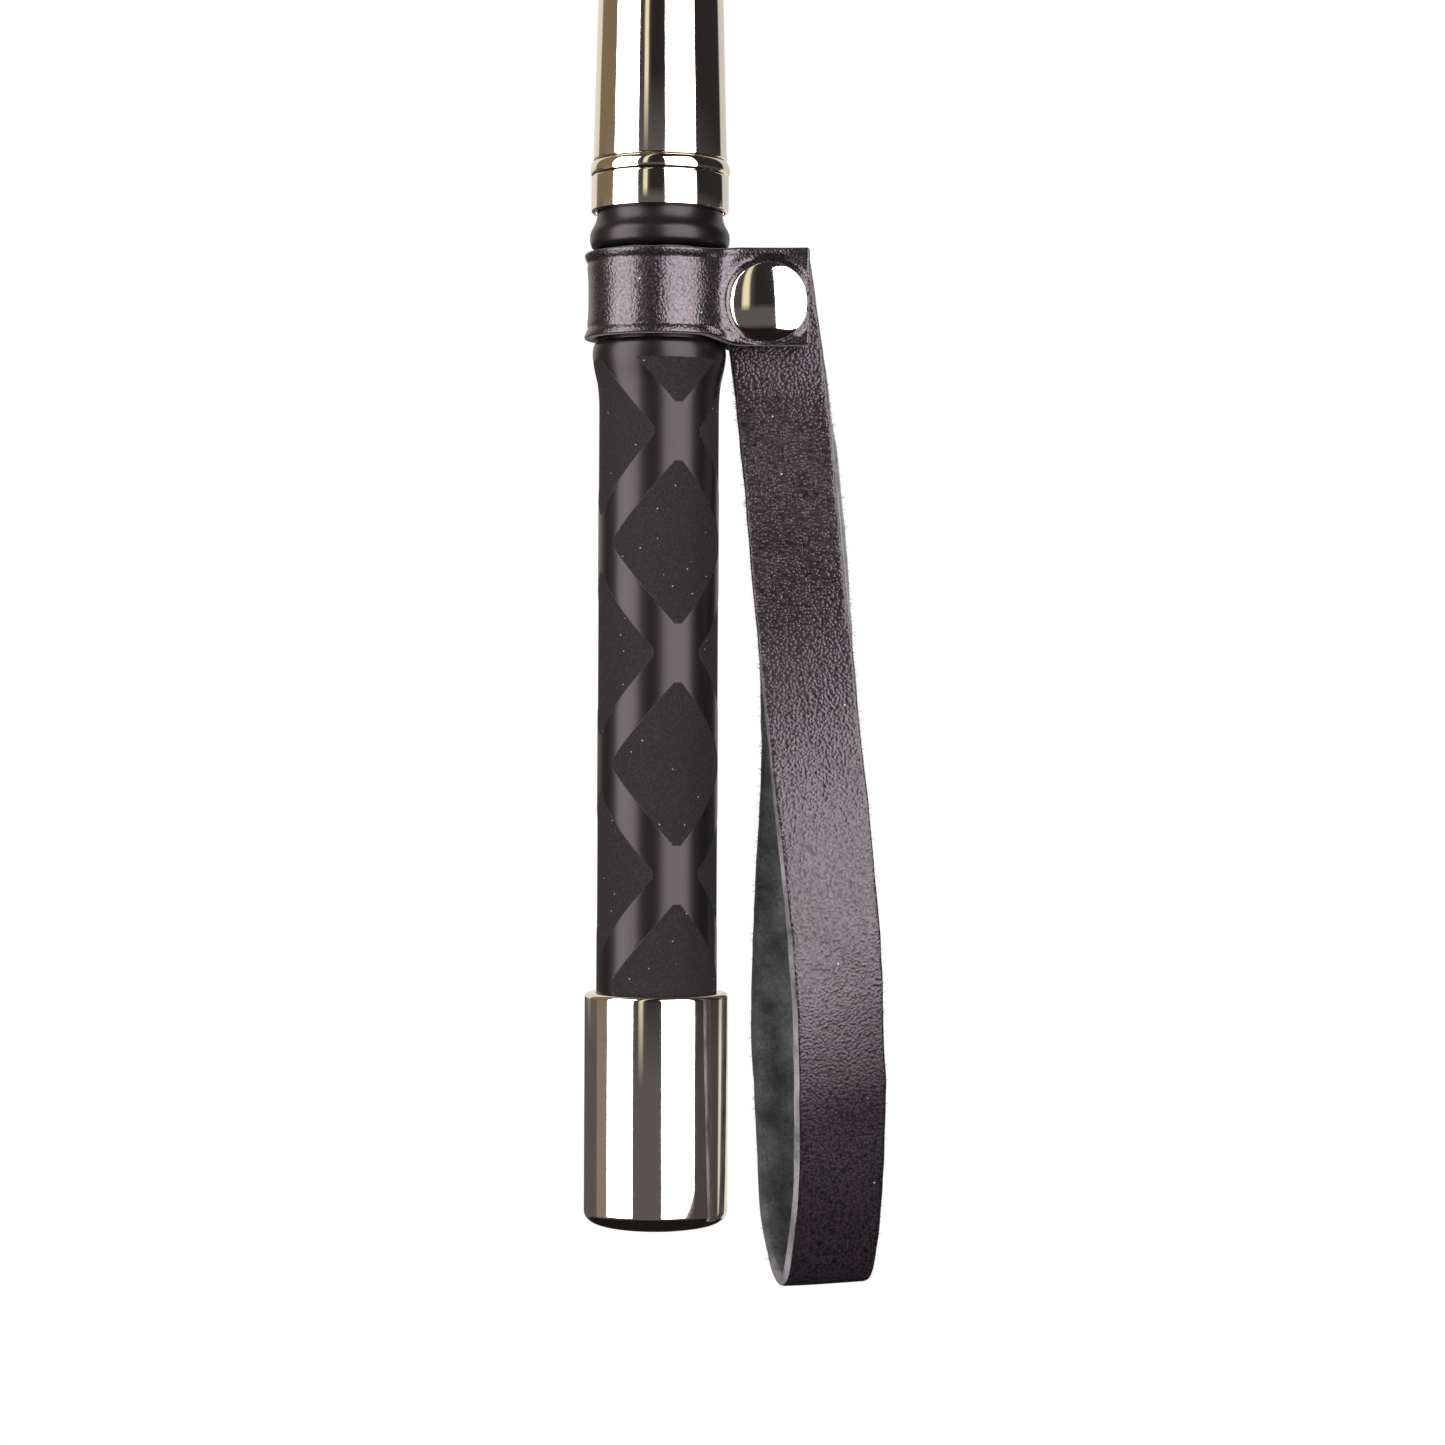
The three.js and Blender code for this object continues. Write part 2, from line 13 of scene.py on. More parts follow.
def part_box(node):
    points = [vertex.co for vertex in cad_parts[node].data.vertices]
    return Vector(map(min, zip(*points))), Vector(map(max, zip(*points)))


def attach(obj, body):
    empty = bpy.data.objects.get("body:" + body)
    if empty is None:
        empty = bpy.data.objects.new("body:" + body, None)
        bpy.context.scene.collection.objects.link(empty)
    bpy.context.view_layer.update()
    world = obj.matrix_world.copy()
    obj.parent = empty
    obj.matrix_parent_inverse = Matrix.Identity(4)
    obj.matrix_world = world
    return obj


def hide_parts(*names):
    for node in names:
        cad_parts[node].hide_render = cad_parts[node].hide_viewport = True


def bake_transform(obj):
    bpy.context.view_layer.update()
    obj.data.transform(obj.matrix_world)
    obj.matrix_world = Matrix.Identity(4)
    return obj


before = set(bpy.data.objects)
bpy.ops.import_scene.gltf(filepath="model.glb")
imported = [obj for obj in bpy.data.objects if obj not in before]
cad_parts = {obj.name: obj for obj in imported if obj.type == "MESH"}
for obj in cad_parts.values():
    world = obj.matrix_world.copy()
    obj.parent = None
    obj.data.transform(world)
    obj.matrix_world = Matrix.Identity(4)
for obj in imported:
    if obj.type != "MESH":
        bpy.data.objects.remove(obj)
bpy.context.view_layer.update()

mm = 0.001
fullTurn = 2 * math.pi
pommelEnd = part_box("pommel_cap")[0].z / mm  # lowest point of the crop's rigid part


def blendValues(a, b, share):
    return a + (b - a) * share


def smoothStep(value, low, high):
    share = min(max((value - low) / (high - low), 0), 1)
    return share * share * (3 - 2 * share)


def bump(distance, width):
    return math.exp(-((distance / width) ** 2))


def linearColour(hexText):
    parts = [int(hexText[i : i + 2], 16) / 255 for i in (1, 3, 5)]
    linear = [c / 12.92 if c <= 0.04045 else ((c + 0.055) / 1.055) ** 2.4 for c in parts]
    return (*linear, 1)


def perSize(size):
    return 1 / (size * mm)  # a texture's scale from its real size


# Fills a node's inputs with plain values, or links them to other nodes' outputs.
def fillInputs(tree, node, inputs):
    for socket, value in inputs.items():
        if isinstance(value, bpy.types.NodeSocket):
            tree.links.new(value, node.inputs[socket])
        else:
            node.inputs[socket].default_value = value


def addNode(tree, kind, inputs, **settings):
    made = tree.nodes.new(kind)
    for name, value in settings.items():
        setattr(made, name, value)
    fillInputs(tree, made, inputs)
    return made


def addNoise(tree, coords, size, detail=2, roughness=0.5, distortion=0):
    inputs = {"Vector": coords, "Scale": perSize(size), "Detail": detail}
    inputs.update({"Roughness": roughness, "Distortion": distortion})
    return addNode(tree, "ShaderNodeTexNoise", inputs).outputs["Fac"]


def addCells(tree, coords, size, **settings):
    inputs = {"Vector": coords, "Scale": perSize(size)}
    return addNode(tree, "ShaderNodeTexVoronoi", inputs, **settings).outputs["Distance"]


def addMaths(tree, operation, *values):
    made = addNode(tree, "ShaderNodeMath", dict(enumerate(values)), operation=operation)
    return made.outputs[0]


def addRange(tree, value, low, high, newLow=0, newHigh=1):
    inputs = {"Value": value, "From Min": low, "From Max": high}
    inputs.update({"To Min": newLow, "To Max": newHigh})
    return addNode(tree, "ShaderNodeMapRange", inputs).outputs[0]


def addMix(tree, share, first, second):
    colours = [linearColour(c) if isinstance(c, str) else c for c in (first, second)]
    inputs = {0: share, 6: colours[0], 7: colours[1]}
    return addNode(tree, "ShaderNodeMix", inputs, data_type="RGBA").outputs[2]


def addRelief(tree, height, strength, depth, invert=False):
    inputs = {"Height": height, "Strength": strength, "Distance": depth * mm}
    return addNode(tree, "ShaderNodeBump", inputs, invert=invert).outputs[0]


# Draws a pattern out along the crop.
def stretchUp(tree, coords, scale):
    inputs = {"Vector": coords, "Scale": (1, 1, scale)}
    return addNode(tree, "ShaderNodeMapping", inputs).outputs[0]


def splitAxes(tree, coords):
    return tuple(addNode(tree, "ShaderNodeSeparateXYZ", {"Vector": coords}).outputs)


def newMaterial(name):
    material = bpy.data.materials.new(name)
    material.use_nodes = True
    tree = material.node_tree
    tree.nodes.clear()
    shader = addNode(tree, "ShaderNodeBsdfPrincipled", {})
    addNode(tree, "ShaderNodeOutputMaterial", {"Surface": shader.outputs[0]})
    coords = addNode(tree, "ShaderNodeTexCoord", {}).outputs["Object"]
    return material, tree, shader, coords


# Nickel plate on drawn brass tube, buffed to a mirror: faint buffing haze and fingermarks only.
def buffedNickelPlate(name="buffedNickelPlate", haze=0.03, tint="#e9e4da"):
    material, tree, shader, coords = newMaterial(name)
    smears = addNoise(tree, coords, 14, 5, 0.6)
    drawLines = addNoise(tree, stretchUp(tree, coords, 0.12), 1.3, 3)
    finish = {
        "Metallic": 1,
        "Base Color": linearColour(tint),
        "Roughness": addRange(tree, smears, 0.35, 0.75, haze, haze * 2.6),
        "Normal": addRelief(tree, drawLines, 0.018, 0.2),
    }
    fillInputs(tree, shader, finish)
    return material


# Black rubber, injection moulded: smooth ground from a polished mould, diamonds etched in it.
gripPattern = {
    "columns": 4,
    "pitch": 41,  # between diamonds in one column
    "anchorAngle": -70,  # degrees, one diamond's centre
    "anchorHeight": 27.9,
    "halfSize": 0.386,  # of the lattice cell
    "blunt": 0.95,
    "sunk": 0.09,
    "low": -60,
    "high": 62,
}


def mouldedRubber():
    material, tree, shader, coords = newMaterial("mouldedRubber")
    pattern = gripPattern

    def maths(operation, *values):
        return addMaths(tree, operation, *values)

    x, y, z = splitAxes(tree, coords)
    turned = maths("SUBTRACT", maths("ARCTAN2", y, x), math.radians(pattern["anchorAngle"]))
    around = maths("MULTIPLY", turned, pattern["columns"] / 2 / fullTurn)
    height = maths("SUBTRACT", z, pattern["anchorHeight"] * mm)
    along = maths("DIVIDE", height, pattern["pitch"] * mm)
    offsets = []
    for operation in ("ADD", "SUBTRACT"):
        lattice = maths(operation, around, along)
        offsets.append(maths("ABSOLUTE", maths("SUBTRACT", lattice, maths("ROUND", lattice))))
    square = maths("MAXIMUM", *offsets)
    corner = maths("MULTIPLY", maths("ADD", *offsets), 0.5 / pattern["blunt"])
    reach = maths("MAXIMUM", square, corner)
    diamond = addRange(tree, reach, pattern["halfSize"] + 0.004, pattern["halfSize"] - 0.004)
    above = maths("GREATER_THAN", z, pattern["low"] * mm)
    below = maths("LESS_THAN", z, pattern["high"] * mm)
    matt = maths("MULTIPLY", diamond, maths("MULTIPLY", above, below))

    grit = addCells(tree, coords, 0.45)  # etched grit, drawn at 0.45 mm so that it shows
    specks = addRange(tree, addNoise(tree, coords, 0.3), 0.42, 0.72)
    glint = addRange(tree, addCells(tree, coords, 2.2), 0.07, 0.045)
    mattColour = addMix(tree, glint, addMix(tree, specks, "#050405", "#1a181a"), "#7c797d")
    glossColour = addMix(tree, addNoise(tree, coords, 9, 4), "#060506", "#0f0d10")
    finish = {
        "Base Color": addMix(tree, matt, glossColour, mattColour),
        "Roughness": addRange(tree, matt, 0, 1, 0.3, 0.85),
        "Specular IOR Level": 0.3,
        "Specular Tint": linearColour("#fff2fb"),
        "Normal": addRelief(tree, maths("MULTIPLY", grit, matt), 0.55, 0.16),
    }
    fillInputs(tree, shader, finish)
    return material


# Bridle leather, drum dyed black and waxed: pebbled grain with a soft shine, rubbed high spots
# that shine more, and painted shade darkening the grain's valleys and creases.
# Hands press the grain flat and take the wax off below the two levels given.
def waxedLeather(name, dark, light, shine, grainSize, grainDepth, gloss, handled=None):
    material, tree, shader, coords = newMaterial(name)
    cloud = {"Vector": coords, "Scale": perSize(5), "Detail": 2}
    warp = addNode(tree, "ShaderNodeTexNoise", cloud).outputs["Color"]
    shifted = addNode(tree, "ShaderNodeMix", {0: 0.0012, 4: coords, 5: warp}, data_type="VECTOR")
    pebbles = addCells(tree, shifted.outputs[1], grainSize, feature="SMOOTH_F1")
    creases = addNoise(tree, coords, 2.6, 6, 0.62)
    worn = addRange(tree, addNoise(tree, coords, 17, 4, 0.55), 0.35, 0.7)
    fine = addMaths(tree, "MULTIPLY_ADD", creases, 0.14, pebbles)
    # Painted shade: the base colour below is darker in the grain's valleys and creases and lighter
    # on its tops; the valleys also get less sheen.
    valleyShade = addRange(tree, fine, 0.12, 0.82)
    dust = addRange(tree, addCells(tree, coords, 4.5), 0.05, 0.03)
    height, sheen = fine, addRange(tree, valleyShade, 0, 1, gloss, gloss * 0.42)
    if handled:
        x, _, z = splitAxes(tree, coords)
        level = addMaths(tree, "MULTIPLY_ADD", x, -0.5, z)
        left = addRange(tree, level, handled[0] * mm, handled[1] * mm, 0.3)
        height, sheen = (addMaths(tree, "MULTIPLY", full, left) for full in (height, sheen))
    finish = {
        "Base Color": addMix(tree, dust, addMix(tree, valleyShade, light, dark), "#8f8c90"),
        "Roughness": addRange(tree, worn, 0, 1, shine, shine + 0.1),
        "Specular IOR Level": sheen,
        "Specular Tint": linearColour("#fff0fb"),
        "Normal": addRelief(tree, height, 1.0, grainDepth, invert=True),
    }
    fillInputs(tree, shader, finish)
    return material


# The hide's flesh side or cut edge: short matted fibres, dry and dull.
def fibrousLeather(name, dark, light, fibre, depth):
    material, tree, shader, coords = newMaterial(name)
    nap = addNoise(tree, coords, fibre, 6, 0.7, 1.4)
    patchy = addMaths(tree, "MULTIPLY", nap, addNoise(tree, coords, 6, 3))
    finish = {
        "Base Color": addMix(tree, addRange(tree, patchy, 0.14, 0.4), dark, light),
        "Roughness": 0.93,
        "Specular IOR Level": 0.25,
        "Sheen Weight": 0.2,
        "Normal": addRelief(tree, nap, 0.7, depth),
    }
    fillInputs(tree, shader, finish)
    return material


# Polyamide yarn, twisted and braided or wound, with a little wax: silky along the filaments.
def twistedYarn(name, dark, light, filament, lean):
    material, tree, shader, coords = newMaterial(name)
    x, y, z = splitAxes(tree, coords)
    slope = addMaths(tree, "MULTIPLY_ADD", addMaths(tree, "ARCTAN2", y, x), lean * mm, z)
    lines = {"W": slope, "Scale": perSize(filament), "Detail": 3}
    filaments = addNode(tree, "ShaderNodeTexNoise", lines, noise_dimensions="1D")
    fuzz = addNoise(tree, coords, 0.5, 4)
    share = addMaths(tree, "MULTIPLY", filaments.outputs["Fac"], fuzz)
    finish = {
        "Base Color": addMix(tree, addRange(tree, share, 0.12, 0.42), dark, light),
        "Roughness": 0.55,
        "Sheen Weight": 0.25,
        "Sheen Roughness": 0.35,
        "Normal": addRelief(tree, share, 0.5, 0.12),
    }
    fillInputs(tree, shader, finish)
    return material


# Beech, turned on a lathe and left raw: straight grain up the plug with short flecks.
def turnedBeech():
    material, tree, shader, coords = newMaterial("turnedBeech")
    drawn = stretchUp(tree, coords, 0.08)
    finish = {
        "Base Color": addMix(tree, addNoise(tree, drawn, 1.6, 5), "#9c6f44", "#d2a878"),
        "Roughness": 0.68,
        "Normal": addRelief(tree, addCells(tree, drawn, 0.9), 0.3, 0.1),
    }
    fillInputs(tree, shader, finish)
    return material


# Glass-filled nylon, injection moulded: grey, with pale streaks where the fibres show.
def glassFilledNylon():
    material, tree, shader, coords = newMaterial("glassFilledNylon")
    streaks = addNoise(tree, coords, 1.8, 6, 0.5, 2)
    finish = {
        "Base Color": addMix(tree, streaks, "#2c2c2e", "#55565a"),
        "Roughness": 0.5,
        "Normal": addRelief(tree, streaks, 0.2, 0.1),
    }
    fillInputs(tree, shader, finish)
    return material


# Polyester resin and glass roving, pultruded: straight pale strands under a dull resin skin.
def pultrudedGlass():
    material, tree, shader, coords = newMaterial("pultrudedGlass")
    strands = addNoise(tree, stretchUp(tree, coords, 0.02), 0.5, 4)
    finish = {
        "Base Color": addMix(tree, strands, "#a39b78", "#e6e0c8"),
        "Roughness": 0.35,
        "Transmission Weight": 0.1,
        "Normal": addRelief(tree, strands, 0.3, 0.05),
    }
    fillInputs(tree, shader, finish)
    return material


nickel = buffedNickelPlate()
studNickel = buffedNickelPlate("tumbledNickelPlate", 0.09, "#dcd8d0")
rubber = mouldedRubber()
# Each grain leather gets two colours: one for the tops, and a darker one that is painted shade in
# the valleys and creases.
strapGrain = waxedLeather(
    "waxedStrapLeather", "#060506", "#1f1a1f", 0.25, 0.5, 0.13, 0.7, handled=(-95, -74)
)
bandGrain = waxedLeather("waxedBandLeather", "#060506", "#171317", 0.21, 0.44, 0.06, 1.05)
strapFlesh = fibrousLeather("leatherFleshSide", "#34363a", "#6c6e72", 0.7, 0.2)
cutEdge = fibrousLeather("leatherCutEdge", "#1f1d21", "#7b777f", 0.35, 0.3)
bandEdge = fibrousLeather("dyedLeatherEdge", "#0d0b0c", "#262325", 0.5, 0.15)
braidYarn = twistedYarn("braidedPolyamide", "#0d0c0e", "#37353a", 0.24, 5.5)
whippingYarn = twistedYarn("waxedWhippingThread", "#111012", "#343136", 0.3, 0.6)
stitchYarn = twistedYarn("waxedSewingThread", "#4f4c50", "#9a969c", 0.25, 0.3)
beech = turnedBeech()
nylon = glassFilledNylon()
glassRod = pultrudedGlass()
print("materials made")


# Finishes a mesh drawn in millimetres as a piece of the crop.
def finishPiece(bm, name, materials, replaced, sharpAngle=35):
    bmesh.ops.recalc_face_normals(bm, faces=bm.faces[:])
    bmesh.ops.scale(bm, vec=(mm, mm, mm), verts=bm.verts[:])
    mesh = bpy.data.meshes.new(name)
    bm.to_mesh(mesh)
    bm.free()
    mesh.shade_smooth()
    mesh.set_sharp_from_angle(angle=math.radians(sharpAngle))
    for material in materials:
        mesh.materials.append(material)
    piece = bpy.data.objects.new(name, mesh)
    bpy.context.scene.collection.objects.link(piece)
    if replaced:
        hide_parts(*replaced)
    return piece


def smoothSurface(piece, levels=1):
    modifier = piece.modifiers.new("roundedSurface", "SUBSURF")
    modifier.levels = levels
    modifier.render_levels = levels


# A smooth stretch of an outline between two points, shaped by two handles.
def sweep(start, startHandle, endHandle, end, count=12):
    corners = [Vector((*point, 0)) for point in (start, startHandle, endHandle, end)]
    return [(point.x, point.y, 0) for point in interpolate_bezier(*corners, count)]


def roundOff(bm, geom, size, segments, affect="EDGES"):
    bmesh.ops.bevel(
        bm,
        geom=geom,
        offset=size,
        offset_type="OFFSET",
        segments=segments,
        profile=0.5,
        affect=affect,
        material=-1,
    )


# Spins all that is drawn so far about the crop's axis, climbing a little at each step.
def spinAll(bm, angle, steps, climb=0):
    bmesh.ops.spin(
        bm,
        geom=bm.verts[:] + bm.edges[:] + bm.faces[:],
        cent=(0, 0, 0),
        axis=(0, 0, 1),
        dvec=(0, 0, climb),
        angle=angle,
        steps=steps,
        use_merge=not climb,
    )


# Moves a point straight towards the crop's axis.
def sinkVert(vert, depth):
    reach = math.hypot(vert.co.x, vert.co.y)
    vert.co.x *= 1 - depth / reach
    vert.co.y *= 1 - depth / reach


# Spins an outline of (radius, height, rounding). It closes on itself unless it ends on the axis.
# A row height cuts the outer wall into short rows and leaves the bore plain.
def turnOutline(outline, steps, rowHeight=0):
    bm = bmesh.new()
    verts = [bm.verts.new((radius, 0, height)) for radius, height, _ in outline]
    closed = min(radius for radius, _, _ in outline) > 0
    following = verts[1:] + verts[:1] if closed else verts[1:]
    for vert, after in zip(verts, following):
        bm.edges.new((vert, after))
    for vert, (_, _, rounding) in zip(verts, outline):
        if rounding:
            segments = max(3, min(8, round(rounding * 8)))
            roundOff(bm, [vert], rounding, segments, "VERTICES")
    if rowHeight:
        bore = outline[0][0]
        for edge in [e for e in bm.edges if e.calc_length() > rowHeight * 2]:
            upright = abs(edge.verts[0].co.x - edge.verts[1].co.x) < 0.01
            if upright and edge.verts[0].co.x > bore + 0.1:
                cuts = round(edge.calc_length() / rowHeight) - 1
                bmesh.ops.subdivide_edges(bm, edges=[edge], cuts=cuts)
    spinAll(bm, fullTurn, steps)
    bmesh.ops.remove_doubles(bm, verts=bm.verts[:], dist=1e-4)
    return bm


# A flat strip in its own space: x along it, y across it, z up through its thickness.
def cutStrip(length, width, thickness, alongCuts, acrossCuts, edgeRound, cornerRounds):
    bm = bmesh.new()
    bmesh.ops.create_cube(bm, size=1)
    bmesh.ops.scale(bm, vec=(length, width, thickness), verts=bm.verts[:])
    bmesh.ops.translate(bm, vec=(length / 2, 0, 0), verts=bm.verts[:])
    for endX, sideY, rounding in cornerRounds:
        upright = []
        for edge in bm.edges:
            middle = (edge.verts[0].co + edge.verts[1].co) / 2
            atCorner = abs(middle.x - endX * length) < 0.01 and abs(middle.z) < 0.01
            if atCorner and abs(middle.y - sideY * width / 2) < 0.01:
                upright.append(edge)
        roundOff(bm, upright, rounding, max(3, round(rounding * 1.5)))
    rim = [e for e in bm.edges if abs(e.verts[0].co.z + e.verts[1].co.z) > thickness * 0.9]
    roundOff(bm, rim, edgeRound, 2)
    cuts = [((along, 0, 0), (1, 0, 0)) for along in alongCuts]
    cuts += [((0, across, 0), (0, 1, 0)) for across in acrossCuts]
    for point, direction in cuts:
        bmesh.ops.bisect_plane(
            bm,
            geom=bm.verts[:] + bm.edges[:] + bm.faces[:],
            dist=1e-4,
            plane_co=point,
            plane_no=direction,
        )
    bmesh.ops.triangulate(bm, faces=[f for f in bm.faces if len(f.verts) > 4])
    bm.normal_update()
    for face in bm.faces:
        if abs(face.normal.z) < 0.8:
            face.material_index = 1
        elif face.normal.z < 0:
            face.material_index = 2
    return bm


def evenCuts(length, step, start=0):
    count = max(2, round(length / step))
    return [start + length * i / count for i in range(1, count)]


# Lets a distance along a line of points be turned into a place and a direction.
def followLine(points):
    reach = [0.0]
    for before, after in zip(points, points[1:]):
        reach.append(reach[-1] + (after - before).length)
    last = len(points) - 1
    headings = [
        (points[min(i + 1, last)] - points[max(i - 1, 0)]).normalized()
        for i in range(last + 1)
    ]

    def placeAt(distance):
        index = min(max(bisect.bisect_right(reach, distance) - 1, 0), last - 1)
        share = (distance - reach[index]) / (reach[index + 1] - reach[index])
        place = points[index].lerp(points[index + 1], share)
        share = min(max(share, 0), 1)
        heading = headings[index].lerp(headings[index + 1], share)
        return place, heading.normalized()

    return reach[-1], placeAt


# Drawn brass cup over the end of the grip.
pommel = {"wall": 0.8, "flat": 4.5, "domeRise": 3.3, "steps": 128}


def makePommel():
    low, high = (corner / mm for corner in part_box("pommel_cap"))
    radius = high.x
    flat, rise, wall = pommel["flat"], pommel["domeRise"], pommel["wall"]
    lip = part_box("grip_rubber")[0].z / mm
    dome = sweep(
        (flat, low.z),
        (radius - 3.5, low.z + 0.1),
        (radius, low.z + 0.7),
        (radius, low.z + rise),
        20,
    )
    inside = radius - wall
    outline = [(0, low.z, 0)] + dome
    outline += [
        (radius, high.z, 0.9),
        (inside - 1.3, high.z, 0.25),
        (inside - 1.3, high.z - wall, 0),
        (inside, lip, 0.3),
        (inside, low.z + rise, 1.5),
        (flat, low.z + wall, 0),
        (0, low.z + wall, 0),
    ]
    bm = turnOutline(outline, pommel["steps"])
    piece = finishPiece(bm, "pommelCup", [nickel], ["pommel_cap"], 30)
    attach(piece, "handle")


# Rubber sleeve with two beads and a groove for the leather band between them.
grip = {
    "radius": 11.3,
    "bore": 9.2,
    "neckRadius": 11.0,
    "lowerBead": (12.5, 63),
    "upperBead": (13.1, 85.2),
    "groove": (65.8, 82.7),
    "collarFit": 11.7,
    "rowHeight": 0.5,
    "steps": 160,
}


# 1 inside a diamond, 0 on the smooth ground.
def diamondShare(angle, height):
    pattern = gripPattern
    around = (angle - math.radians(pattern["anchorAngle"])) / fullTurn * pattern["columns"] / 2
    along = (height - pattern["anchorHeight"]) / pattern["pitch"]
    offsets = [abs(value - round(value)) for value in (around + along, around - along)]
    reach = max(max(offsets), sum(offsets) * 0.5 / pattern["blunt"])
    inside = 1 - smoothStep(reach, pattern["halfSize"] - 0.02, pattern["halfSize"])
    ends = smoothStep(height, pattern["low"], pattern["low"] + 1)
    return inside * ends * (1 - smoothStep(height, pattern["high"] - 1, pattern["high"]))


def makeGrip():
    low, high = (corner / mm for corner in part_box("grip_rubber"))
    radius, bore, neck = grip["radius"], grip["bore"], grip["neckRadius"]
    beadLow, heightLow = grip["lowerBead"]
    beadHigh, heightHigh = grip["upperBead"]
    grooveLow, grooveHigh = grip["groove"]
    fit = grip["collarFit"]
    outline = [(bore, low.z, 0.3), (radius, low.z, 0.4), (radius, heightLow - 10, 0)]
    outline += sweep(
        (radius, heightLow - 10),
        (radius, heightLow - 4.5),
        (beadLow - 0.2, heightLow - 3),
        (beadLow, heightLow),
    )[1:]
    outline += sweep(
        (beadLow, heightLow),
        (beadLow + 0.05, heightLow + 1.6),
        (beadLow - 0.2, grooveLow),
        (neck, grooveLow),
    )[1:]
    outline += sweep(
        (neck, grooveHigh),
        (beadHigh - 0.6, grooveHigh),
        (beadHigh, heightHigh - 1.8),
        (beadHigh, heightHigh),
    )
    outline += sweep(
        (beadHigh, heightHigh),
        (beadHigh, heightHigh + 1.7),
        (fit + 0.4, heightHigh + 1.6),
        (fit, heightHigh + 4.4),
    )[1:]
    outline += [(fit, high.z, 0.3), (bore, high.z, 0.3)]
    bm = turnOutline(outline, grip["steps"], grip["rowHeight"])
    for vert in bm.verts:
        reach = math.hypot(vert.co.x, vert.co.y)
        if reach > bore + 1 and vert.co.z < heightLow:
            angle = math.atan2(vert.co.y, vert.co.x)
            sinkVert(vert, gripPattern["sunk"] * diamondShare(angle, vert.co.z))
    piece = finishPiece(bm, "rubberGrip", [rubber], ["grip_rubber"])
    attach(piece, "handle")


# Plain band with a rolled bead, then the long tapered sleeve.
ferrule = {
    "wall": 0.8,
    "beadDepth": 2.7,
    "taper": 0.025,  # radius lost per millimetre
    "straightEnd": 140,
    "noseRadius": 6.0,
    "steps": 128,
}


def makeCollar():
    low, high = (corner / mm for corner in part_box("ferrule_collar"))
    wall, beadDepth = ferrule["wall"], ferrule["beadDepth"]
    bead = high.x
    radius = bead - 0.25
    crease = high.z - beadDepth
    inside = radius - wall
    outline = [(inside, low.z, 0.1), (radius, low.z, 0.35)]
    outline += [(radius, crease - 0.25, 0.1), (radius - 0.15, crease, 0)]
    outline += sweep(
        (radius - 0.15, crease),
        (bead + 0.1, crease + 0.3),
        (bead + 0.1, high.z - 0.4),
        (radius - 0.45, high.z),
    )[1:]
    outline += [(inside - 0.4, high.z, 0.1), (inside - 0.4, high.z - wall, 0)]
    outline += [(inside, high.z - 2.4, 0.2)]
    bm = turnOutline(outline, ferrule["steps"])
    piece = finishPiece(bm, "beadedCollar", [nickel], ["ferrule_collar"], 50)
    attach(piece, "handle")


def makeSleeve():
    low, high = (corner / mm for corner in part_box("ferrule_sleeve"))
    wall, nose, straightEnd = ferrule["wall"], ferrule["noseRadius"], ferrule["straightEnd"]
    base = high.x
    shoulder = base - ferrule["taper"] * (straightEnd - low.z)
    bend = 26
    rolledEdge = 0.5

    def ogive(inset):
        return sweep(
            (shoulder - inset, straightEnd),
            (shoulder - inset - ferrule["taper"] * bend, straightEnd + bend),
            (nose + 1 - inset, high.z - bend),
            (nose - inset, high.z - rolledEdge),
            48,
        )

    outline = [(base - wall, low.z, 0), (base, low.z, 0.3)]
    outline += ogive(0) + [(nose, high.z, 0.3), (nose - wall, high.z, 0.2)]
    outline += ogive(wall)[::-1]
    bm = turnOutline(outline, ferrule["steps"])
    piece = finishPiece(bm, "taperedSleeve", [nickel], ["ferrule_sleeve"], 50)
    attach(piece, "handle")


makePommel()
makeGrip()
makeCollar()
makeSleeve()
print("handle made")

# One leather strip round the grip's groove. Its two ends run out side by side as a tab, closed
# by a press stud. The front part is a piece of its own, because it lifts when the stud opens.
band = {
    "thickness": 2.0,
    "ringRadius": 12.4,  # middle of the leather
    "ringHeight": 16.0,
    "tabHeight": 18.3,
    "ringCentre": 74.2,
    "tabCentre": 73.7,
    "frontPly": -5.6,
    "backPly": 5.0,
    "frontLeaves": 45,  # degrees from the tab's direction, where each ply leaves the ring
    "backLeaves": 46,
    "leavingPull": 0.42,  # each ply's curve, as shares of its reach
    "joiningPull": 0.55,
    "tabStraight": 14.5,  # where the plies run parallel
    "tabEnd": 28.0,
    "seamAngle": -222,
    "flare": 0.85,  # the edges of the band stand out from the groove
    "flarePower": 3.2,
    "tabFlare": 0.28,  # share of the flare that is left on the tab
    "creaseDepth": 0.32,
    "creaseInset": 1.9,
    "creaseWidth": 0.42,
    "curlLength": 5,
    "frontCurl": 0.7,
    "backCurl": 0.2,
    "waveDepth": 0.22,
    "waveRate": 0.11,
    "edgeRound": 0.45,
    "step": 0.9,
    "fineStep": 0.5,
    "fineLength": 32,  # of the front part, from the tab's end
}
stud = {
    "x": 20.4,
    "height": 72.8,
    "capRadius": 7.4,
    "dome": 1.3,
    "recess": 0.6,
    "recessEdge": (0.15, 0.75),  # distance from the cap
    "swells": [(1.4, 1.0, 0.32), (2.6, 2.2, 0.25)],  # distance from the cap, width, height
    "rimHeight": 0.45,
    "shank": 1.9,
}


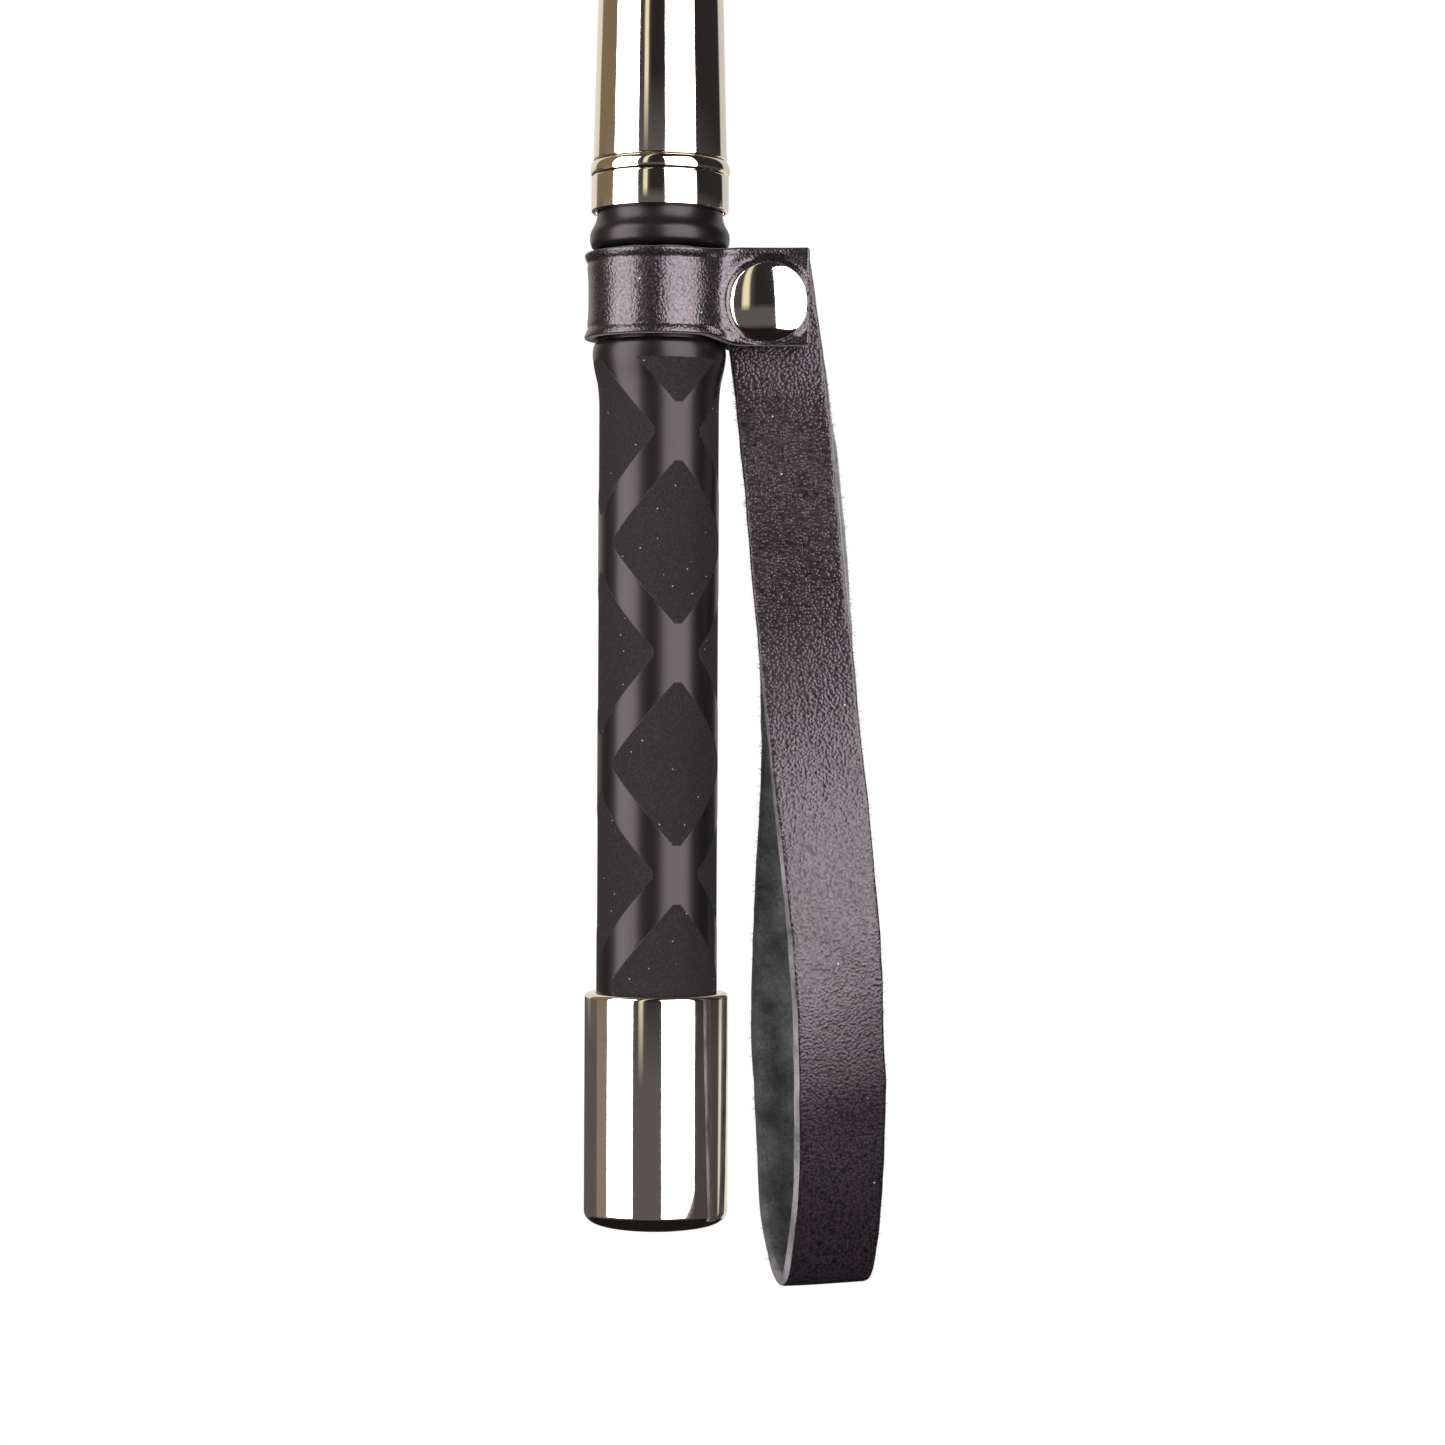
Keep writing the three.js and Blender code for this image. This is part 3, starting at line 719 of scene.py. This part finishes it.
def bandLine():
    radius = band["ringRadius"]
    straight = band["tabStraight"]

    def plyStretch(ply, leaves):
        angle = math.radians(leaves)
        side = math.copysign(1, ply)
        start = Vector((math.cos(angle), side * math.sin(angle))) * radius
        heading = Vector((math.sin(angle), -side * math.cos(angle)))
        end = Vector((straight + 2, ply))
        reach = (end - start).length
        leaving = start + heading * reach * band["leavingPull"]
        joining = end - Vector((reach * band["joiningPull"], 0))
        curve = interpolate_bezier(start, leaving, joining, end, 24)
        points = [Vector(point[:2]) for point in curve]
        for i in range(1, 13):
            points.append(Vector((blendValues(straight + 2, band["tabEnd"], i / 12), ply)))
        return angle, points

    frontAngle, front = plyStretch(band["frontPly"], band["frontLeaves"])
    backAngle, back = plyStretch(band["backPly"], band["backLeaves"])
    ring = []
    for i in range(1, 120):
        angle = blendValues(-frontAngle, backAngle - fullTurn, i / 120)
        ring.append(Vector((math.cos(angle), math.sin(angle))) * radius)
    seamAngle = math.radians(band["seamAngle"])
    seamPlace = Vector((math.cos(seamAngle), math.sin(seamAngle))) * radius
    seam = min(range(len(ring)), key=lambda i: (ring[i] - seamPlace).length)
    return front[::-1] + ring + back, len(front) + seam


bandPoints, seamIndex = bandLine()


# Places a point of the flat strip. The strip's x runs along the line, y is up and z outwards.
def bandPlace(placeAt, along, up, out, tabSide):
    place, heading = placeAt(along)
    outward = Vector((-heading.y, heading.x))
    tabShare = smoothStep(place.x, 7, band["tabStraight"] + 1)
    height = blendValues(band["ringHeight"], band["tabHeight"], tabShare)
    centre = blendValues(band["ringCentre"], band["tabCentre"], tabShare)
    z = centre + up * height
    shift = band["flare"] * (abs(up) * 2) ** band["flarePower"]
    shift *= blendValues(1, band["tabFlare"], tabShare)
    if out > 0:
        inset = (0.5 - abs(up)) * height - band["creaseInset"]
        shift -= bump(inset, band["creaseWidth"]) * band["creaseDepth"]
    curl = max(place.x - (band["tabEnd"] - band["curlLength"]), 0) / band["curlLength"]
    if tabSide == "front":
        shift += band["frontCurl"] * curl**2
        away = math.hypot(place.x - stud["x"], z - stud["height"]) - stud["capRadius"]
        shift -= stud["recess"] * (1 - smoothStep(away, *stud["recessEdge"]))
        for outset, width, rise in stud["swells"]:
            shift += rise * bump(away - outset, width)
    else:
        shift += band["backCurl"] * curl**2
    wave = noise.noise(Vector((place.x, place.y, z)) * band["waveRate"])
    wave *= band["waveDepth"] * min(tabShare + 0.4, 1)
    reach = out + shift + wave
    return Vector((place.x + outward.x * reach, place.y + outward.y * reach, z))


def makeBandPart(name, points, tabSide, node):
    length, placeAt = followLine(points)
    tabEndAt = 0 if tabSide == "front" else 1
    fine = band["fineLength"]
    if tabSide == "front":
        alongCuts = evenCuts(fine, band["fineStep"]) + [fine]
        alongCuts += evenCuts(length - fine, band["step"], fine)
    else:
        alongCuts = evenCuts(length, band["step"])
    bm = cutStrip(
        length,
        band["ringHeight"],
        band["thickness"],
        alongCuts,
        evenCuts(band["ringHeight"], band["fineStep"], -band["ringHeight"] / 2),
        band["edgeRound"],
        [(tabEndAt, -1, 0.6), (tabEndAt, 1, 0.6)],
    )
    for vert in bm.verts:
        along, across, out = vert.co
        vert.co = bandPlace(placeAt, along, across / band["ringHeight"], out, tabSide)
    materials = [bandGrain, bandEdge, strapFlesh]
    piece = finishPiece(bm, name, materials, [node], 60)
    smoothSurface(piece)
    return piece


def makeNeckBand():
    front = makeBandPart(
        "neckBandFront", bandPoints[: seamIndex + 1], "front", "band_flap"
    )
    back = makeBandPart(
        "neckBandBack", bandPoints[seamIndex:], "back", "neck_band"
    )
    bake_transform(front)
    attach(back, "band")


makeNeckBand()
print("neck band made")


# Turned pieces whose axis runs through the tab. Their outline's heights become depth, front first.
def makeStudPiece(name, outline, material, body, node, sharpAngle=35):
    bm = turnOutline(outline, 96)
    toDepth = Matrix.Rotation(-math.pi / 2, 3, "X")
    bmesh.ops.rotate(bm, cent=(0, 0, 0), matrix=toDepth, verts=bm.verts[:])
    bmesh.ops.translate(bm, vec=(stud["x"], 0, stud["height"]), verts=bm.verts[:])
    piece = finishPiece(bm, name, [material], [node], sharpAngle)
    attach(piece, body)


def makePressStud():
    radius, shank = stud["capRadius"], stud["shank"]
    face = band["frontPly"] - band["thickness"] / 2
    seat = face + stud["recess"] - 0.1
    rim = seat - stud["rimHeight"]
    front = rim - stud["dome"]
    back = band["frontPly"] + band["thickness"] / 2
    dome = sweep(
        (0, front),
        (radius * 0.45, front),
        (radius * 0.85, rim - 0.35),
        (radius - 0.25, rim),
        16,
    )
    cap = dome + [(radius, rim + 0.1, 0.12), (radius - 0.1, seat, 0.1), (shank, seat, 0)]
    cap += [(shank, back + 0.6, 0.2), (0, back + 0.6, 0)]
    makeStudPiece("studCap", cap, nickel, "flap", "snap_cap", 30)

    socketBack = back + 1.9
    socket = [
        (shank + 0.1, back + 0.1, 0),
        (5.2, back + 0.1, 0.3),
        (6.2, back + 0.7, 0.25),
        (6.2, socketBack, 0.3),
        (4.6, socketBack, 0.2),
        (4.2, socketBack - 0.35, 0.2),
        (3.2, socketBack - 0.1, 0.2),
        (2.6, socketBack - 0.1, 0.2),
        (2.6, back + 0.8, 0.1),
        (shank + 0.1, back + 0.8, 0),
    ]
    makeStudPiece("studSocket", socket, studNickel, "flap", "snap_socket")

    low, high = (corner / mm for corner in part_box("snap_stud"))
    flange = low.y + 0.9
    ballOut = 2.3
    bore = 1.65
    ball = [
        (bore, low.y, 0.1),
        (ballOut, low.y, 0.25),
        (ballOut, flange, 0.15),
        (5.4, flange, 0.25),
        (5.4, high.y, 0.1),
        (bore, high.y, 0),
    ]
    makeStudPiece("studBall", ball, studNickel, "band", "snap_stud")

    low, high = (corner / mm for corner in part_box("snap_post"))
    head = high.y - 0.8
    post = [
        (0, low.y, 0),
        (1.55, low.y, 0.3),
        (1.55, head, 0.1),
        (5.4, head, 0.1),
        (5.4, head + 0.35, 0.2),
        (4.2, high.y, 0.5),
        (1.6, high.y, 0.2),
        (1.2, high.y - 0.35, 0.2),
        (0, high.y - 0.35, 0),
    ]
    makeStudPiece("studPost", post, studNickel, "band", "snap_post")


makePressStud()
print("press stud made")

# The wrist strap, a strip folded into a slim loop and hung from the stud. Side points are
# distance from the middle plane and height.
strap = {
    "width": 17.6,
    "thickness": 2.7,
    "middle": 1.0,
    "hangX": 30.4,
    "lean": 11.5,
    "leanPower": 2.8,
    "leanTop": 83,
    "drift": 1.3,  # the lowest part hangs a little further out
    "driftHeights": (-55, -92),
    "twistTop": -9,
    "twistBottom": 23,
    "twistHeights": (-78, 46),
    "freeHeights": (46, 61),
    "side": [
        (-1.35, 82.6),
        (-1.35, 61),
        (-2.4, 45),
        (-3.4, 28),
        (-4.7, 8),
        (-6.7, -12),
        (-8.7, -29),
        (-9.8, -43),
        (-10, -53),
        (-9.6, -63),
        (-8.6, -73),
        (-7.3, -83),
        (-5.8, -93),
        (-4.1, -102),
        (-2.2, -107.8),
        (0.3, -109.8),
        (3.2, -108.5),
        (6.4, -104.4),
        (8.9, -97.8),
        (10.6, -87),
        (11.1, -73),
        (11, -60),
        (10.6, -38),
        (8.6, -21),
        (6.4, -8),
        (4.7, 9),
        (3.4, 28),
        (2.4, 45),
        (1.35, 61),
        (1.35, 82.6),
    ],
    "stepAlong": 2.2,
    "stepAcross": 1.1,
    "edgeRound": 0.5,
    "lowerCorner": 12.5,
    "upperCorner": 1.2,
    "raggedWidth": 1.2,  # of each cut edge
    "raggedLift": 0.16,
    "raggedOut": 0.28,
    "waveLift": 0.18,
    "waveOut": 0.25,
    "crown": 0.12,
}


# A smooth line through the points, by curves whose handles follow each point's neighbours.
def smoothLine(points, count=10):
    last = len(points) - 1
    pulls = [(points[min(i + 1, last)] - points[max(i - 1, 0)]) / 6 for i in range(last + 1)]
    line = [points[0]]
    for i in range(last):
        handles = points[i] + pulls[i], points[i + 1] - pulls[i + 1]
        line += interpolate_bezier(points[i], *handles, points[i + 1], count)[1:]
    return [Vector(point[:2]) for point in line]


# Twists the hanging loop about its length and leans its top back to the grip.
def hangPoint(wide, across, height):
    up = smoothStep(height, *strap["twistHeights"])
    turn = blendValues(strap["twistBottom"], strap["twistTop"], up)
    twist = math.radians(turn * (1 - smoothStep(height, *strap["freeHeights"])))
    rise = max(height - pommelEnd, 0) / (strap["leanTop"] - pommelEnd)
    lean = strap["lean"] * rise ** strap["leanPower"]
    drift = strap["drift"] * smoothStep(height, *strap["driftHeights"])
    x = strap["hangX"] - lean + drift + wide * math.cos(twist) - across * math.sin(twist)
    y = strap["middle"] + wide * math.sin(twist) + across * math.cos(twist)
    return Vector((x, y, height))


strapLength, strapPlace = followLine(smoothLine([Vector(point) for point in strap["side"]]))


# Where a point of the flat strip comes to lie once it is folded and hung.
def foldPoint(along, wide, lift):
    place, heading = strapPlace(along)
    return hangPoint(wide, place.x + heading.y * lift, place.y - heading.x * lift)


def makeWristStrap():
    width, thickness, length = strap["width"], strap["thickness"], strapLength
    corners = ((-1, "lowerCorner"), (1, "upperCorner"))
    bm = cutStrip(
        length,
        width,
        thickness,
        evenCuts(length, strap["stepAlong"]),
        evenCuts(width, strap["stepAcross"], -width / 2),
        strap["edgeRound"],
        [(end, side, strap[corner]) for side, corner in corners for end in (0, 1)],
    )
    for vert in bm.verts:
        along, wide, out = vert.co
        ragged = smoothStep(abs(wide), width / 2 - strap["raggedWidth"], width / 2)
        ragged *= noise.noise(Vector((along * 0.9, wide, out * 1.7)))
        wave = noise.noise(Vector((along * 0.07, wide * 0.05, 3)))
        crown = strap["crown"] * (1 - (wide * 2 / width) ** 2)
        lift = out + ragged * strap["raggedLift"] + wave * strap["waveLift"]
        lift += math.copysign(crown, out)
        side = math.copysign(1, wide)
        wide += side * ragged * strap["raggedOut"] + wave * strap["waveOut"]
        vert.co = foldPoint(along, wide, lift)
    materials = [strapGrain, cutEdge, strapFlesh]
    piece = finishPiece(bm, "wristStrap", materials, ["wrist_strap"], 60)
    smoothSurface(piece)
    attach(piece, "strap")


makeWristStrap()
print("wrist strap made,", round(strapLength), "mm long before it was folded")


# Loose ends of the hide's fibres, standing out of the strap's two cut edges.
fibres = {
    "count": 1500,
    "radius": 0.06,
    "shortest": 0.1,
    "longest": 0.8,
    "rootDepth": 0.2,
    "clearEnd": 24,
    "spread": 0.45,  # of the strap's thickness, either way from its middle
    "tipLean": 0.6,
    "tipLift": 0.3,
    "seed": 5,
}


def makeStrapFibres():
    dice = random.Random(fibres["seed"])
    bm = bmesh.new()
    for _ in range(fibres["count"]):
        along = dice.uniform(fibres["clearEnd"], strapLength - fibres["clearEnd"])
        side = dice.choice((-1, 1))
        lift = dice.uniform(-fibres["spread"], fibres["spread"]) * strap["thickness"]
        reach = blendValues(fibres["shortest"], fibres["longest"], dice.random() ** 2)
        edge = strap["width"] / 2
        root = foldPoint(along, side * (edge - fibres["rootDepth"]), lift)
        lift += dice.uniform(-fibres["tipLift"], fibres["tipLift"])
        along += dice.uniform(-fibres["tipLean"], fibres["tipLean"])
        tip = foldPoint(along, side * (edge + reach), lift)
        turned = (tip - root).to_track_quat("Z", "Y").to_matrix().to_4x4()
        bmesh.ops.create_cone(
            bm,
            segments=3,
            radius1=fibres["radius"],
            radius2=fibres["radius"] / 4,
            depth=(tip - root).length,
            matrix=Matrix.Translation((root + tip) / 2) @ turned,
        )
    piece = finishPiece(bm, "strapFibres", [cutEdge], [])
    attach(piece, "strap")


makeStrapFibres()

braid = {
    "cells": 12,  # strands each way round the shaft
    "cellHeight": 3.4,
    "depth": 0.32,
    "rowHeight": 0.5,
    "steps": 96,
}


def makeBraid():
    low, high = (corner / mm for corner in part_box("shaft_braid"))
    base = high.x
    tip = base - 2.8
    outline = [
        (base - 0.5, low.z, 0),
        (base, low.z, 0.15),
        (tip, high.z, 0.15),
        (tip - 0.5, high.z, 0),
    ]
    bm = bmesh.new()
    verts = [bm.verts.new((radius, 0, height)) for radius, height, _ in outline]
    edges = [bm.edges.new((a, b)) for a, b in zip(verts, verts[1:] + verts[:1])]
    rows = round((high.z - low.z) / braid["rowHeight"])
    bmesh.ops.subdivide_edges(bm, edges=[edges[1]], cuts=rows)
    spinAll(bm, fullTurn, braid["steps"])
    for vert in bm.verts:
        reach = math.hypot(vert.co.x, vert.co.y)
        taper = (vert.co.z - low.z) / (high.z - low.z)
        if reach > blendValues(base, tip, taper) - 0.3:
            around = math.atan2(vert.co.y, vert.co.x) / fullTurn * braid["cells"]
            along = vert.co.z / braid["cellHeight"]
            first, second = around + along, around - along
            over = (math.floor(first) + math.floor(second)) % 2
            share = first % 1 if over else second % 1
            ridge = math.sin(math.pi * share) ** 0.6
            sinkVert(vert, braid["depth"] * blendValues(1, 0.5, taper) * (1 - ridge))
    piece = finishPiece(bm, "braidedCover", [braidYarn], ["shaft_braid"], 60)
    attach(piece, "handle")


# Thread wound round the keeper's root, turn beside turn.
binding = {"thread": 0.9, "sides": 8, "stepsPerTurn": 36}


def makeBinding():
    low, high = (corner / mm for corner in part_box("keeper_binding"))
    thread = binding["thread"]
    turns = int((high.z - low.z) / thread) - 1
    bm = bmesh.new()
    ring = bmesh.ops.create_circle(
        bm, cap_ends=True, radius=thread / 2, segments=binding["sides"]
    )["verts"]
    bmesh.ops.rotate(bm, cent=(0, 0, 0), matrix=Matrix.Rotation(math.pi / 2, 3, "X"), verts=ring)
    start = (high.x - thread / 2, 0, low.z + thread / 2)
    bmesh.ops.translate(bm, vec=start, verts=ring)
    steps = turns * binding["stepsPerTurn"]
    spinAll(bm, turns * fullTurn, steps, thread / binding["stepsPerTurn"])
    piece = finishPiece(
        bm, "threadWhipping", [whippingYarn], ["keeper_binding"], 60
    )
    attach(piece, "handle")


# The keeper: a strip folded at the tip and sewn along both sides.
keeper = {
    "plyThickness": 1.55,
    "width": 28.0,
    "baseWidth": 7.2,
    "tucked": 3.4,  # how far the base runs down inside the binding
    "shoulder": 20.0,  # from the base to the full width
    "corner": 4.0,
    "bendRise": 2.4,
    "edgeRound": 0.35,
    "stepAlong": 1.5,
    "stepAcross": 1.2,
    "stitchInset": 2.4,
    "stitchPitch": 3.2,
    "stitchHalfSize": (0.42, 0.3, 1.15),
    "stitchEnds": (17, 5),  # from the base and from the tip
    "grooveDepth": 0.18,
    "grooveWidth": 0.5,
    "grooveStart": 6,  # from the base
}


def keeperHalfWidth(height, base, tip):
    share = smoothStep(height, base + 1, base + keeper["shoulder"])
    half = blendValues(keeper["baseWidth"], keeper["width"], share) / 2
    corner = keeper["corner"]
    past = min(max(height - (tip - corner), 0), corner)
    return half - (corner - math.sqrt(corner**2 - past**2)) * 0.8


def makeKeeper():
    low, high = (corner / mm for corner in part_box("keeper_tongue"))
    ply = keeper["plyThickness"]
    offset = high.y - ply / 2
    rise = keeper["bendRise"]
    foot, bend = low.z - keeper["tucked"], high.z - rise
    points = [Vector((-offset, blendValues(foot, bend, i / 30))) for i in range(31)]
    for i in range(1, 12):
        angle = math.pi * i / 12
        x, y = -math.cos(angle) * offset, math.sin(angle) * (rise - ply / 2)
        points.append(Vector((x, bend + y)))
    points += [Vector((offset, blendValues(bend, foot, i / 30))) for i in range(31)]
    length, placeAt = followLine(points)
    width = keeper["width"]
    bm = cutStrip(
        length,
        width,
        ply,
        evenCuts(length, keeper["stepAlong"]),
        evenCuts(width, keeper["stepAcross"], -width / 2),
        keeper["edgeRound"],
        [],
    )
    for vert in bm.verts:
        along, wide, out = vert.co
        place, heading = placeAt(along)
        half = keeperHalfWidth(place.y, low.z, high.z)
        wide *= half * 2 / width
        lift = -out
        if out < 0 and place.y > low.z + keeper["grooveStart"]:
            away = abs(wide) - (half - keeper["stitchInset"])
            lift += bump(away, keeper["grooveWidth"]) * keeper["grooveDepth"]
        vert.co = (wide, place.x + heading.y * lift, place.y - heading.x * lift)
    materials = [strapGrain, bandEdge, strapFlesh]
    piece = finishPiece(bm, "keeperTongue", materials, ["keeper_tongue"], 60)
    smoothSurface(piece)
    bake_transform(piece)

    bm = bmesh.new()
    height = low.z + keeper["stitchEnds"][0]
    size = Matrix.Diagonal((*keeper["stitchHalfSize"], 1))
    while height < high.z - keeper["stitchEnds"][1]:
        half = keeperHalfWidth(height, low.z, high.z) - keeper["stitchInset"]
        ahead = keeperHalfWidth(height + 1, low.z, high.z) - keeper["stitchInset"]
        for side in (-1, 1):
            tilt = Matrix.Rotation(math.atan(side * (ahead - half)), 4, "Y")
            for face in (low.y + 0.1, high.y - 0.1):
                place = Matrix.Translation((side * half, face, height)) @ tilt @ size
                bmesh.ops.create_uvsphere(
                    bm, u_segments=8, v_segments=6, radius=1, matrix=place
                )
        height += keeper["stitchPitch"]
    stitches = finishPiece(bm, "keeperStitches", [stitchYarn], [], 80)
    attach(stitches, "keeper")


makeBraid()
makeBinding()
makeKeeper()
print("shaft and keeper made")

# Pieces hidden inside the crop keep the frame's own shape.
innerFinishes = {
    "pommel_plug": beech,
    "ferrule_plug": beech,
    "handle_tube": nylon,
    "nose_bush": nylon,
    "shaft_core": glassRod,
    "keeper_root": strapGrain,
}
for nodeName, finish in innerFinishes.items():
    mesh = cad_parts[nodeName].data
    mesh.materials.clear()
    mesh.materials.append(finish)

studio = {
    "lens": 89.7,
    "cameraPlace": (12.15, -675, -5.4),
    "roll": 0.26,
    "floorHeight": -450,
    "floorRadius": 1400,
    "boxDistance": 950,
    "radiance": 7,
}
softboxes = {  # angle from the camera's side, lean, width, lowest and highest edge
    "leftSoftbox": {"angle": -60, "lean": 0, "width": 820, "low": -330, "high": 1070},
    "rightSoftbox": {"angle": 36, "lean": 3, "width": 980, "low": -305, "high": 1070},
}


def makeCamera():
    data = bpy.data.cameras.new("studioCamera")
    data.lens = studio["lens"]
    data.sensor_width = 36
    data.clip_start = 0.01
    camera = bpy.data.objects.new("studioCamera", data)
    bpy.context.scene.collection.objects.link(camera)
    level = Matrix.Rotation(math.pi / 2, 4, "X")
    roll = Matrix.Rotation(math.radians(studio["roll"]), 4, "Z")
    camera.matrix_world = Matrix.Translation(Vector(studio["cameraPlace"]) * mm) @ level @ roll
    bpy.context.scene.camera = camera


def makeSoftbox(name, box):
    width = box["width"] * mm
    height = (box["high"] - box["low"]) * mm
    data = bpy.data.lights.new(name, "AREA")
    data.shape = "RECTANGLE"
    data.size = width
    data.size_y = height
    data.energy = studio["radiance"] * math.pi * width * height
    data.color = linearColour("#fffdfa")[:3]
    light = bpy.data.objects.new(name, data)
    bpy.context.scene.collection.objects.link(light)
    turn = math.radians(box["angle"])
    place = Vector((math.sin(turn), -math.cos(turn), 0)) * studio["boxDistance"] * mm
    place.z = (box["high"] + box["low"]) / 2 * mm
    facing = Vector((-place.x, -place.y, 0)).to_track_quat("-Z", "Y").to_matrix().to_4x4()
    lean = Matrix.Rotation(math.radians(box["lean"]), 4, "Z")
    light.matrix_world = Matrix.Translation(place) @ facing @ lean
    light.visible_camera = False


# Surroundings by compass direction: bright paper behind, dark room at the sides and in front.
def makeSurroundings():
    world = bpy.data.worlds.new("studioRoom")
    bpy.context.scene.world = world
    world.use_nodes = True
    tree = world.node_tree
    tree.nodes.clear()
    coords = addNode(tree, "ShaderNodeTexCoord", {}).outputs["Generated"]
    x, y, z = splitAxes(tree, coords)
    angle = addMaths(tree, "ARCTAN2", x, addMaths(tree, "MULTIPLY", y, -1))
    share = addRange(tree, angle, -math.pi, math.pi)
    rings = {  # degrees from the camera's side and colour, above eye level and below it
        "upper": [
            (-180, "#efe8d8"),
            (-133, "#efe8d8"),
            (-129, "#85745c"),
            (-84, "#85745c"),
            (-80, "#4a4646"),
            (-27.5, "#4a4646"),
            (-26.5, "#fff3d0"),
            (-20.5, "#fff3d0"),
            (-19.5, "#454242"),
            (-17, "#454242"),
            (-14, "#2c2a2b"),
            (70, "#2c2a2b"),
            (127, "#302e2f"),
            (132, "#dcd6cf"),
            (180, "#dcd6cf"),
        ],
        "lower": [
            (-180, "#5f5a58"),
            (-111, "#5f5a58"),
            (-107, "#8f8479"),
            (-84, "#8f8479"),
            (-80, "#615e5e"),
            (57, "#615e5e"),
            (61, "#4e4a4c"),
            (119, "#4e4a4c"),
            (123, "#eee6d4"),
            (180, "#eee6d4"),
        ],
    }
    colours = {}
    for ringName, bands in rings.items():
        ramp = addNode(tree, "ShaderNodeValToRGB", {0: share})
        stops = ramp.color_ramp.elements
        while len(stops) > 1:
            stops.remove(stops[-1])
        for index, (degrees, colour) in enumerate(bands):
            place = (degrees + 180) / 360
            stop = stops[0] if index == 0 else stops.new(place)
            stop.position = place
            stop.color = linearColour(colour)
        colours[ringName] = ramp.outputs[0]
    eyeLevel = addRange(tree, z, -0.06, 0.06)
    walls = addMix(tree, eyeLevel, colours["lower"], colours["upper"])
    underneath = addRange(tree, z, -0.3, -0.38)
    colour = addMix(tree, underneath, walls, "#1e1c1c")
    room = addNode(tree, "ShaderNodeBackground", {"Color": colour, "Strength": 1})
    paper = addNode(tree, "ShaderNodeBackground", {"Color": (1, 1, 1, 1), "Strength": 1})
    rays = addNode(tree, "ShaderNodeLightPath", {})
    shown = addNode(
        tree,
        "ShaderNodeMixShader",
        {0: rays.outputs["Is Camera Ray"], 1: room.outputs[0], 2: paper.outputs[0]},
    )
    addNode(tree, "ShaderNodeOutputWorld", {"Surface": shown.outputs[0]})


def makeFloor():
    bm = bmesh.new()
    bmesh.ops.create_circle(bm, cap_ends=True, radius=studio["floorRadius"] * mm, segments=96)
    bmesh.ops.translate(bm, vec=(0, 0, studio["floorHeight"] * mm), verts=bm.verts[:])
    mesh = bpy.data.meshes.new("paleFloor")
    bm.to_mesh(mesh)
    bm.free()
    material, tree, shader, _ = newMaterial("paintedBoard")
    fillInputs(tree, shader, {"Base Color": linearColour("#f2f1ee"), "Roughness": 0.8})
    mesh.materials.append(material)
    floor = bpy.data.objects.new("paleFloor", mesh)
    bpy.context.scene.collection.objects.link(floor)
    floor.visible_glossy = False  # polished pieces mirror the dark room below, as on a tall stand


makeCamera()
for boxName, box in softboxes.items():
    makeSoftbox(boxName, box)
makeSurroundings()
makeFloor()
bpy.context.scene.view_settings.view_transform = "Standard"
print("studio made")
